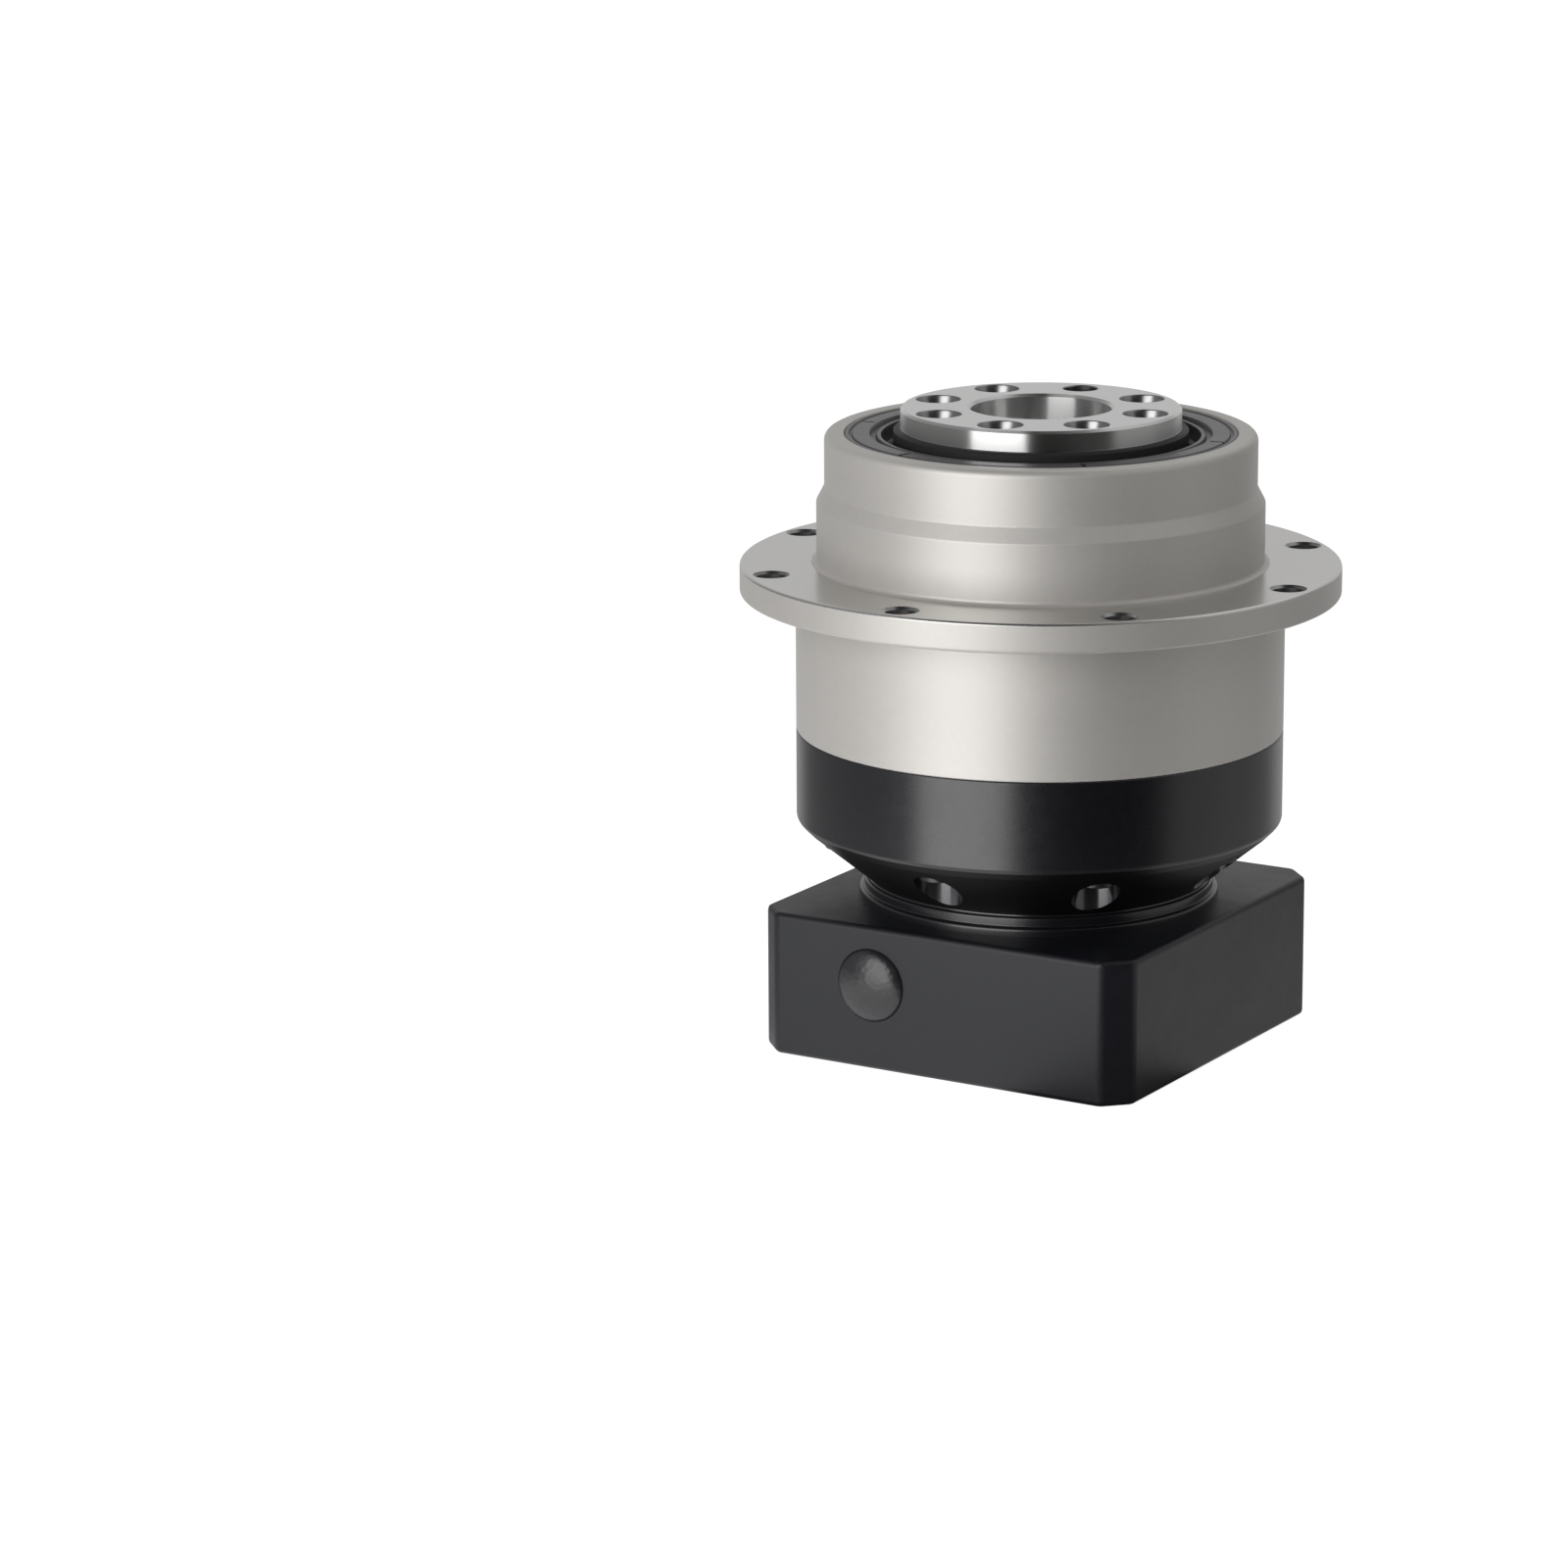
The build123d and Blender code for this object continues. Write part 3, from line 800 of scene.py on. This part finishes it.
@dataclass
class MotorFlange(Piece):
    """Black motor flange: square block, boss, cone and ring in one piece."""

    name: str = "motor_flange_body"
    node: str = "input_housing"
    slot: str = "black_anodised"
    side: float = 60.0
    height: float = 21.0
    corner: float = 3.6
    edge: float = 0.85
    pilot_radius: float = 25.0
    pilot_depth: float = 3.5
    cavity_radius: float = 17.2
    shaft_hole: float = 11.0
    bore_radius: float = 16.0
    bore_bottom: float = 26.0
    lip_radius: float = 25.9
    lip_top: float = 22.2
    boss_radius: float = 25.2
    boss_top: float = 23.6
    cone_radius: float = 24.3
    ring_radius: float = 35.0
    ring_bottom: float = 31.3
    ring_edge: float = 1.3
    ring_top: float = 45.6
    spigot_radius: float = 26.48
    spigot_top: float = 47.6
    screws: int = 8
    screw_circle: float = 29.0
    screw_seat: float = 32.3
    pocket_radius: float = 3.4
    screw_hole: float = 1.7
    bolts: int = 4
    bolt_phase: float = 45.0
    bolt_circle: float = 35.0
    bolt_radius: float = 2.5
    bolt_depth: float = 13.0
    bolt_pitch: float = 0.8
    access_x: float = -10.55
    access_z: float = 12.45
    access_start: float = 14.0
    access_radius: float = 4.5
    access_rim: float = 5.3
    access_rim_depth: float = 1.5

    def block(self) -> Object:
        """Square block with its chamfered corners and softened edges.

        Returns:
            The new object.
        """
        half, cut = self.side / 2 * MM, (self.side / 2 - self.corner) * MM
        outline = [
            (half, -cut), (half, cut), (cut, half), (-cut, half),
            (-half, cut), (-half, -cut), (-cut, -half), (cut, -half),
        ]
        work = bmesh.new()
        face = work.faces.new([work.verts.new((x, y, 0)) for x, y in outline])
        raised = bmesh.ops.extrude_face_region(work, geom=[face])["geom"]
        tops = [v for v in raised if isinstance(v, bmesh.types.BMVert)]
        bmesh.ops.translate(work, verts=tops, vec=(0, 0, self.height * MM))
        bmesh.ops.recalc_face_normals(work, faces=work.faces)
        bmesh.ops.bevel(
            work, geom=work.edges[:], offset=self.edge * MM, segments=4, profile=0.5, affect="EDGES"
        )
        return from_work(self.name, work)

    def neck(self) -> Object:
        """Solid turned boss, cone, ring and spigot above the block.

        Returns:
            The new object.
        """
        profile = [
            (0, self.height - 0.5, 0), (self.lip_radius, self.height - 0.5, 0),
            (self.lip_radius, self.lip_top, 0.45), (self.boss_radius, self.lip_top, 0.2),
            (self.boss_radius, self.boss_top, 0.35), (self.cone_radius, self.boss_top, 0.2),
            (self.ring_radius - self.ring_edge, self.ring_bottom, 0.5),
            (self.ring_radius, self.ring_bottom + self.ring_edge, 1.0),
            (self.ring_radius, self.ring_top, 0.25), (self.spigot_radius, self.ring_top, 0),
            (self.spigot_radius, self.spigot_top, 0.3), (0, self.spigot_top, 0),
        ]
        return spun("neck", rounded(profile), BODY_STEPS)

    def build(self) -> None:
        """Block and neck joined, then bored, pocketed and tapped."""
        body = self.block()
        carve(body, self.neck(), Cut.JOIN)
        profile = [
            (0, -SPARE), (self.pilot_radius + 1.5, -SPARE), (self.pilot_radius, 0.5),
            (self.pilot_radius, self.pilot_depth), (self.cavity_radius, self.pilot_depth),
            (self.cavity_radius, self.height), (self.shaft_hole, self.height),
            (self.shaft_hole, self.bore_bottom), (self.bore_radius, self.bore_bottom),
            (self.bore_radius, self.spigot_top - 0.5),
            (self.bore_radius + 1.5, self.spigot_top + SPARE), (0, self.spigot_top + SPARE),
        ]
        centre = spun("centre", profile)
        carve(body, centre)
        base, seat = self.boss_top + 0.1, self.screw_seat + 0.02
        pocket = column("pocket", self.pocket_radius, base, seat, HOLE_STEPS)
        carve(body, self.repeats.around(pocket, self.screws, self.screw_circle))
        low, high = self.ring_bottom - SPARE, self.ring_top + SPARE
        screw_way = column("screw_way", self.screw_hole, low, high, SCREW_WAY_STEPS)
        carve(body, self.repeats.around(screw_way, self.screws, self.screw_circle))
        r, d = self.bolt_radius, self.bolt_depth
        profile = [(0, -SPARE), (r + 1.6, -SPARE), (r, 0.6), (r, d - 1), (0, d)]
        tapped = spun("motor_hole", profile, SMALL_HOLE_STEPS)
        carve(body, self.repeats.around(tapped, self.bolts, self.bolt_circle, self.bolt_phase))
        face = self.side / 2
        profile = [
            (0, self.access_start), (self.access_radius, self.access_start),
            (self.access_radius, face - self.access_rim_depth),
            (self.access_rim, face - self.access_rim_depth), (self.access_rim, face - 0.05),
            (self.access_rim + 1.05, face + SPARE), (0, face + SPARE),
        ]
        access = spun("access", profile, ACCESS_STEPS)
        carve(body, self.turned_to_side(access))
        thread = self.repeats.thread("motor_threads", r, self.bolt_pitch, 0.9, d - 2)
        self.repeats.around(thread, self.bolts, self.bolt_circle, self.bolt_phase)
        smooth(body)
        self.place(join(body, thread), BLACK, BLACK_TURNED, SHADED_CONE, POCKET)
        for face in body.data.polygons:
            middle = face.center / MM
            out = middle.xy.length
            if middle.z < self.height + 0.01:
                face.material_index = 0
            elif not self.boss_top < middle.z < self.ring_bottom + 1.1 or out < self.bore_radius + 0.1:
                face.material_index = 1
            else:
                # Downward faces under the ring take the darker black: painted shade under the ring.
                face.material_index = 2 if face.normal.z < -0.2 else 3

    def turned_to_side(self, made: Object) -> Object:
        """Turns a shape made about Z to the access hole's axis, pointing out of the side.

        Args:
            made: The object; its height is the distance from the main axis towards -Y.

        Returns:
            The same object.
        """
        shift = Matrix.Translation((self.access_x * MM, 0, self.access_z * MM))
        made.data.transform(shift @ Matrix.Rotation(math.pi / 2, 4, "X"))
        return made


def join(body: Object, extra: Object) -> Object:
    """Adds one mesh to another without cutting either.

    Args:
        body: The object that stays.
        extra: The object whose mesh is taken over.

    Returns:
        The object that stays.
    """
    with bpy.context.temp_override(active_object=body, selected_editable_objects=[body, extra]):
        bpy.ops.object.join()
    return body


@dataclass
class HousingScrews(Piece):
    """Socket head screws under the black ring."""

    name: str = "socket_head_screws"
    node: str = "housing_screws"
    slot: str = "screw_steel"
    count: int = 8
    circle: float = 29.0
    seat: float = 32.3
    head_radius: float = 2.75
    head_height: float = 3.0
    shank_radius: float = 1.5
    length: float = 20.0
    socket_side: float = 1.44
    socket_depth: float = 1.5
    knurl_depth: float = 0.07

    def build(self) -> None:
        """One knurled screw with a hexagon socket, repeated on its circle."""
        low, tip = self.seat - self.head_height, self.seat + self.length
        profile = [
            (0, low, 0), (self.head_radius, low, 0.3), (self.head_radius, self.seat, 0.1),
            (self.shank_radius, self.seat, 0), (self.shank_radius, tip - 0.3, 0),
            (self.shank_radius - 0.3, tip, 0), (0, tip, 0),
        ]
        screw = spun(self.name, rounded(profile, 4), SCREW_STEPS)
        for vertex in screw.data.vertices:
            out = vertex.co.xy.length
            step = round(math.atan2(vertex.co.y, vertex.co.x) / (2 * math.pi) * SCREW_STEPS)
            knurled = out > (self.head_radius - 0.02) * MM and step % 2
            if knurled:
                vertex.co.xy *= 1 - self.knurl_depth * MM / out
        work = bmesh.new()
        bmesh.ops.create_cone(
            work, cap_ends=True, segments=6, radius1=self.socket_side * MM,
            radius2=self.socket_side * MM, depth=2 * self.socket_depth * MM,
        )
        bmesh.ops.translate(work, verts=work.verts, vec=(0, 0, low * MM))
        carve(screw, from_work("hexagon", work))
        smooth(screw, 25)
        self.repeats.around(screw, self.count, self.circle, material=OXIDE.material())
        self.place(screw, OXIDE)


@dataclass
class OutputSeal(Piece):
    """Rubber shaft seal round the output disc."""

    name: str = "output_seal_ring"
    node: str = "output_seal"
    slot: str = "seal_rubber"
    bottom: float = 81.4
    top: float = 88.4
    outer: float = 27.98
    inner: float = 21.06
    notches: int = 6
    notch_phase: float = 12.0
    notch_circle: float = 25.9
    notch_length: float = 2.0
    notch_width: float = 0.6
    notch_depth: float = 0.5

    def build(self) -> None:
        """Ring with its grooves, its lip and six notches."""
        t = self.top
        profile = [
            (self.inner, self.bottom, 0), (self.outer, self.bottom, 0.1),
            (self.outer, t, 0.25), (27.35, t, 0.1), (27.2, t - 0.35, 0.05),
            (26.95, t - 0.35, 0.05), (26.8, t, 0.1), (24.4, t, 0.2), (24.2, t - 0.8, 0.1),
            (23.5, t - 0.8, 0.1), (23.3, t - 0.25, 0.15), (22.75, t - 0.25, 0.15),
            (22.35, t - 2.3, 0.1), (21.75, t - 2.4, 0.1), (self.inner, t - 1.5, 0.08),
            (self.inner, t - 2.0, 0),
        ]
        ring = spun(self.name, rounded(profile, 3), BODY_STEPS)
        work = bmesh.new()
        bmesh.ops.create_cube(work, size=MM)
        size = Vector((self.notch_length, self.notch_width, 2 * self.notch_depth))
        bmesh.ops.scale(work, verts=work.verts, vec=size)
        bmesh.ops.translate(work, verts=work.verts, vec=(0, 0, t * MM))
        notch = from_work("notch", work)
        carve(ring, self.repeats.around(notch, self.notches, self.notch_circle, self.notch_phase))
        smooth(ring)
        self.place(ring, RUBBER)


@dataclass
class OutputCarrier(Piece):
    """Bright output disc and the carrier below it, in one piece."""

    name: str = "output_disc"
    body: str = "output"
    node: str = "output_carrier"
    slot: str = "turned_steel"
    face: float = 92.06
    spigot_radius: float = 20.0
    shoulder: float = 89.08
    journal_radius: float = 21.0
    journal_bottom: float = 80.9
    bore_radius: float = 10.0
    bore_floor: float = 84.3
    plug_radius: float = 9.7
    plug_floor: float = 82.3
    sun_room: float = 9.15
    plate_bottom: float = 64.1
    plate_radius: float = 21.0
    race_step: float = 69.9
    race_radius: float = 22.4
    race_middle: float = 75.4
    groove_radius: float = 21.0721
    groove_half: float = 1.3279
    bolt_places: int = 8
    bolt_circle: float = 15.75
    phase: float = 7.9
    dowel_place: int = 2
    hole_radius: float = 2.5
    hole_bottom: float = 84.06
    lead_in: float = 3.15
    lead_in_depth: float = 2.2
    edge_break: float = 0.15
    pitch: float = 0.8
    planets: int = 3
    post_radius: float = 3.8
    post_circle: float = 16.4
    post_bottom: float = 51.1
    pin_radius: float = 3.02
    pin_circle: float = 15.0
    pin_top: float = 69.02

    def pattern(self) -> tuple[int, float, float, int]:
        """Places, circle, phase and empty place of the tapped holes."""
        return self.bolt_places, self.bolt_circle, self.phase, self.dowel_place

    def turned_body(self) -> Object:
        """Disc, journal, bearing groove and front plate.

        Returns:
            The new object.
        """
        m, h = self.race_middle, self.groove_half
        profile = [
            (self.sun_room, self.plate_bottom, 0.2), (self.plate_radius, self.plate_bottom, 0.3),
            (self.plate_radius, self.race_step, 0), (self.race_radius, self.race_step, 0.2),
            (self.race_radius, m - h, 0), (self.groove_radius, m, 0),
            (self.race_radius, m + h, 0), (self.race_radius, self.journal_bottom, 0.3),
            (self.journal_radius, self.journal_bottom, 0),
            (self.journal_radius, self.shoulder - 0.3, 0),
            (self.journal_radius - 0.3, self.shoulder, 0),
            (self.spigot_radius, self.shoulder, 0.1),
            (self.spigot_radius, self.face - 0.35, 0),
            (self.spigot_radius - 0.35, self.face, 0),
            (self.bore_radius + 0.4, self.face, 0), (self.bore_radius, self.face - 0.4, 0),
            (self.bore_radius, self.bore_floor, 0), (self.plug_radius, self.bore_floor, 0),
            (self.plug_radius, self.plug_floor, 0), (self.sun_room, self.plug_floor, 0),
        ]
        return spun(self.name, rounded(profile), BODY_STEPS)

    def build(self) -> None:
        """Turned body with its posts, tapped holes, dowel hole and threads."""
        disc = self.turned_body()
        profile = [
            (0, self.post_bottom), (self.post_radius - 0.3, self.post_bottom),
            (self.post_radius, self.post_bottom + 0.3), (self.post_radius, self.plate_bottom + 0.3),
            (0, self.plate_bottom + 0.3),
        ]
        post = spun("post", profile, HOLE_STEPS)
        carve(disc, self.repeats.around(post, self.planets, self.post_circle, 60), Cut.JOIN)
        pin = column("pin_hole", self.pin_radius, self.plate_bottom - SPARE, self.pin_top, HOLE_STEPS)
        carve(disc, self.repeats.around(pin, self.planets, self.pin_circle))
        f, r, c, b = self.face, self.hole_radius, self.lead_in, self.hole_bottom
        d, e = self.lead_in_depth, self.edge_break
        profile = [
            (0, b), (r, b + 0.9), (r, f - d), (c, f - e),
            (c + e + SPARE, f + SPARE), (0, f + SPARE),
        ]
        tapped = spun("tapped_hole", profile, HOLE_STEPS)
        carve(disc, self.repeats.around(tapped, *self.pattern()))
        dowel = spun(
            "dowel_hole",
            [(0, b), (r, b + 0.6), (r, f - e), (r + e + SPARE, f + SPARE), (0, f + SPARE)],
            HOLE_STEPS,
        )
        angle = math.radians(self.phase + 360 / self.bolt_places * self.dowel_place)
        out = Vector((math.cos(angle), math.sin(angle), 0)) * self.bolt_circle * MM
        dowel.data.transform(Matrix.Translation(out))
        carve(disc, dowel)
        smooth(disc)
        thread = self.repeats.thread("disc_threads", r, self.pitch, b + 1.4, f - d - 0.2)
        self.repeats.around(thread, *self.pattern())
        self.place(join(disc, thread), BRIGHT, BRIGHT_FACE, SHADED_JOURNAL, SHADED_HOLE)
        for face in disc.data.polygons:
            middle = face.center / MM
            # Shoulder and journal beyond the spigot: painted shade of the gap under the seal.
            if middle.xy.length > self.spigot_radius + 0.02 and middle.z > self.journal_bottom:
                face.material_index = 2
            elif middle.z > f - 0.01 and face.normal.z > 0.9:
                face.material_index = 1
            # Tapped and dowel hole walls and lead-ins: painted shade inside the holes.
            elif abs(middle.xy.length - self.bolt_circle) < c + e and middle.z > b - 0.1:
                face.material_index = 3


@dataclass
class BorePlug(Piece):
    """Dished plug at the bottom of the centring bore."""

    name: str = "dished_plug"
    body: str = "output"
    node: str = "bore_plug"
    slot: str = "plug_steel"
    radius: float = 9.68
    bottom: float = 82.3
    top: float = 84.3
    dish: float = 1.3
    rings: int = 24

    def build(self) -> None:
        """Turned plug whose face is dished."""
        rim = self.radius - 0.5
        n = self.rings
        face = [(rim * k / n, self.top - self.dish * (1 - (k / n) ** 2)) for k in range(n, -1, -1)]
        profile = [(0.0, self.bottom), (self.radius, self.bottom), (self.radius, self.top - 0.15)]
        profile += [(self.radius - 0.15, self.top), *face]
        plug = spun(self.name, profile, BORE_PLUG_STEPS)
        smooth(plug)
        self.place(plug, DISHED)


@dataclass
class AccessPlug(Piece):
    """Domed plug over the clamp screw."""

    flange: MotorFlange | None = None
    name: str = "domed_plug"
    body: str = "access_plug"
    node: str = "access_plug"
    slot: str = "plug_plastic"
    crown_radius: float = 5.27
    stem_radius: float = 4.45
    stem_length: float = 4.0
    rim_height: float = -0.1
    dome: float = 1.9
    rings: int = 24

    def build(self) -> None:
        """Domed crown and stem on the access hole's axis."""
        face = self.flange.side / 2
        seat = face - self.flange.access_rim_depth
        bottom = seat - self.stem_length
        profile = [
            (0.0, bottom), (self.stem_radius - 0.4, bottom), (self.stem_radius, bottom + 0.4),
            (self.stem_radius, seat), (self.crown_radius, seat),
        ]
        for k in range(self.rings + 1):
            angle = math.pi / 2 * k / self.rings
            height = face + self.rim_height + self.dome * math.sin(angle)
            profile.append((self.crown_radius * math.cos(angle), height))
        plug = spun(self.name, profile, ACCESS_STEPS)
        self.flange.turned_to_side(plug)
        smooth(plug, 40)
        self.place(plug, PLUG)


@dataclass
class InnerWorks:
    """CAD nodes that stay as they are and only take a finish."""

    nodes: dict[Finish, tuple[str, ...]] = field(
        default_factory=lambda: {
            GEAR: ("ring_gear", "sun_gear", "planet_gear_1", "planet_gear_2", "planet_gear_3"),
            BRONZE: ("planet_bush_1", "planet_bush_2", "planet_bush_3"),
            BEARING: (
                "planet_pins", "output_bearing_lower_race", "output_bearing_upper_race",
                "output_bearing_rollers", "input_bearing_inner_ring", "input_bearing_outer_ring",
                "input_bearing_rollers",
            ),
            SHAFT: ("carrier_rear_plate", "input_shaft", "clamp_ring"),
            SCREW: ("clamp_screw",),
            RUBBER: ("input_shaft_seal",),
        }
    )

    def dress(self) -> None:
        """Gives every node its finish."""
        for finish, names in self.nodes.items():
            for name in names:
                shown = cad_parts[name]
                shown.data.materials.clear()
                shown.data.materials.append(finish.material())
                log.info("%s: %s", name, finish.name)


# Studio


@dataclass(frozen=True)
class SoftBox:
    """A soft light round the gearbox; angles in degrees from the camera's side, lengths in metres."""

    name: str
    bearing: float
    height: float
    distance: float
    width: float
    tall: float
    power: float


@dataclass(frozen=True)
class Tone:
    """Smooth change of a light level between two bearings in degrees."""

    low: float
    high: float
    change: float
    mirrored: bool = False


@dataclass
class Studio:
    """Pale floor, soft light and the camera of the photograph."""

    camera_at: tuple[float, float, float] = (388.06, -700.95, 235.8)
    around: float = 28.97
    pan: float = 2.633
    tilt: float = -13.949
    roll: float = -0.332
    lens: float = 131.2
    clip: tuple[float, float] = (0.01, 20.0)
    floor_radius: float = 0.12
    floor_level: float = 0.95
    floor_tones: tuple[Tone, ...] = (
        Tone(-14, 0, -0.93), Tone(40, 54, 0.45), Tone(62, 95, -0.55, True),
    )
    floor_white: float = 0.9
    sky_level: float = 0.27
    sky_tones: tuple[Tone, ...] = (
        Tone(-25, -12, -0.262), Tone(56, 68, 0.4), Tone(100, 116, -0.08), Tone(135, 150, 0.27),
        Tone(140, 155, 0.33, True),
    )
    sky_white: float = 1.05
    darkest: float = 0.008
    aim_height: float = 0.05
    lights: tuple[SoftBox, ...] = (SoftBox("key", -35.0, 0.15, 0.8, 0.68, 0.9, 5.3),)

    def build(self) -> None:
        """Makes the floor, the light and the camera."""
        self.floor()
        self.sky()
        for box in self.lights:
            self.lamp(box)
        self.camera()

    def bearing(self, graph: Graph, way: Socket) -> tuple[Value, Value]:
        """Bearing of a direction or a place round the main axis.

        Args:
            graph: The graph that it is worked out in.
            way: The direction or place.

        Returns:
            Degrees from the camera's side, with the right hand positive, and the height.
        """
        split = graph.add("ShaderNodeSeparateXYZ", {0: way})
        x, y, z = (Value(graph, split.outputs[k]) for k in range(3))
        turn = math.radians(self.around)
        right = x * math.cos(turn) + y * math.sin(turn)
        near = x * math.sin(turn) - y * math.cos(turn)
        return graph.math("ARCTAN2", right, near) * (180 / math.pi), z

    @staticmethod
    def level(bearing: Value, start: float, tones: Sequence[Tone]) -> Value:
        """Light level that changes with the bearing.

        Args:
            bearing: Degrees from the camera's side.
            start: Level before every change.
            tones: The changes; a mirrored one counts its degrees to the left.

        Returns:
            The level.
        """
        level = start
        for tone in tones:
            side = bearing * -1 if tone.mirrored else bearing
            level = level + side.between(tone.low, tone.high) * tone.change
        return level

    @staticmethod
    def glowing(
        graph: Graph, base: float, glow: Socket | Colour, strength: float
    ) -> Socket:
        """Matt surface that gives off light of its own.

        Args:
            graph: The material's graph.
            base: Grey of the surface.
            glow: Colour of its light.
            strength: Strength of its light.

        Returns:
            The shader.
        """
        sockets = {
            "Base Color": (base, base, base, 1),
            "Roughness": 0.9,
            "Emission Color": glow,
            "Emission Strength": strength,
        }
        return graph.add("ShaderNodeBsdfPrincipled", sockets).outputs[0]

    def floor(self) -> None:
        """Round pale floor that meets the background without an edge."""
        work = bmesh.new()
        bmesh.ops.create_circle(work, cap_ends=True, segments=128, radius=self.floor_radius)
        bmesh.ops.translate(work, verts=work.verts, vec=(0, 0, -0.1 * MM))
        floor = from_work("floor", work)
        made = bpy.data.materials.new("pale_floor")
        made.use_nodes = True
        graph = Graph(made.node_tree)
        place = graph.add("ShaderNodeTexCoord").outputs["Object"]
        bearing, _ = self.bearing(graph, place)
        glow = graph.scaled((1.0, 1.0, 1.0), self.level(bearing, self.floor_level, self.floor_tones))
        grey = self.glowing(graph, 0.2, glow, 1.0)
        pale = self.glowing(graph, 0.8, (1, 1, 1, 1), self.floor_white)
        seen = graph.add("ShaderNodeLightPath").outputs["Is Camera Ray"]
        shader = graph.add("ShaderNodeMixShader", {0: seen, 1: grey, 2: pale}).outputs[0]
        graph.add("ShaderNodeOutputMaterial", {"Surface": shader})
        floor.data.materials.append(made)

    def sky(self) -> None:
        """Studio surroundings: white behind the picture, softer tones in the reflections."""
        world = bpy.data.worlds.new("studio")
        bpy.context.scene.world = world
        world.use_nodes = True
        graph = Graph(world.node_tree)
        way = graph.add("ShaderNodeTexCoord").outputs["Generated"]
        bearing, z = self.bearing(graph, way)
        level = self.level(bearing, self.sky_level, self.sky_tones)
        ceiling = z.between(0.4, 0.6) * 0.25 * bearing.between(5, 45)
        level = level + ceiling - z.between(0.85, 0.95) * 0.5
        level = graph.math("MAXIMUM", level, self.darkest)
        seen = graph.add("ShaderNodeLightPath").outputs["Is Camera Ray"]
        lit, white = (
            graph.add("ShaderNodeBackground", {"Color": (1, 1, 1, 1), "Strength": strength}).outputs[0]
            for strength in (level, self.sky_white)
        )
        both = graph.add("ShaderNodeMixShader", {0: seen, 1: lit, 2: white})
        graph.add("ShaderNodeOutputWorld", {"Surface": both.outputs[0]})

    def lamp(self, box: SoftBox) -> None:
        """One area light that faces the gearbox.

        Args:
            box: Where it stands and how strong it is.
        """
        data = bpy.data.lights.new(box.name, "AREA")
        data.shape = "RECTANGLE"
        data.size, data.size_y = box.width, box.tall
        data.energy = box.power
        lamp = bpy.data.objects.new(box.name, data)
        bpy.context.scene.collection.objects.link(lamp)
        angle = math.radians(self.around + box.bearing)
        lamp.location = (
            box.distance * math.sin(angle),
            -box.distance * math.cos(angle),
            box.height,
        )
        aim = Vector((0, 0, self.aim_height)) - lamp.location
        lamp.rotation_euler = aim.to_track_quat("-Z", "Y").to_euler()
        lamp.visible_camera = False

    def camera(self) -> None:
        """Camera at the photograph's place, with its lens and its turn."""
        pan, tilt, roll = (math.radians(a) for a in (self.pan, self.tilt, self.roll))
        look = Vector(
            (-math.sin(pan) * math.cos(tilt), math.cos(pan) * math.cos(tilt), math.sin(tilt))
        )
        side = look.cross(Vector((0, 0, 1))).normalized()
        up = side.cross(look)
        right = side * math.cos(roll) + up * math.sin(roll)
        above = up * math.cos(roll) - side * math.sin(roll)
        turn = Matrix((right, above, -look)).transposed().to_4x4()
        turn = Matrix.Rotation(math.radians(self.around), 4, "Z") @ turn
        data = bpy.data.cameras.new("camera")
        data.sensor_width = 36.0
        data.lens = self.lens
        data.clip_start, data.clip_end = self.clip
        camera = bpy.data.objects.new("camera", data)
        camera.matrix_world = Matrix.Translation(Vector(self.camera_at) * MM) @ turn
        bpy.context.scene.collection.objects.link(camera)
        bpy.context.scene.camera = camera


def main() -> None:
    """Builds every piece, dresses the inner works and sets the studio up."""
    logging.basicConfig(level=logging.INFO, format="%(name)s %(message)s", stream=sys.stdout)
    bpy.context.scene.view_settings.view_transform = "Standard"
    repeats = Repeats()
    flange = MotorFlange(repeats)
    for piece in (
        GearHousing(repeats),
        flange,
        HousingScrews(repeats),
        OutputSeal(repeats),
        OutputCarrier(repeats),
        BorePlug(repeats),
        AccessPlug(repeats, flange=flange),
    ):
        piece.build()
    InnerWorks().dress()
    Studio().build()


if __name__ == "__main__":
    main()
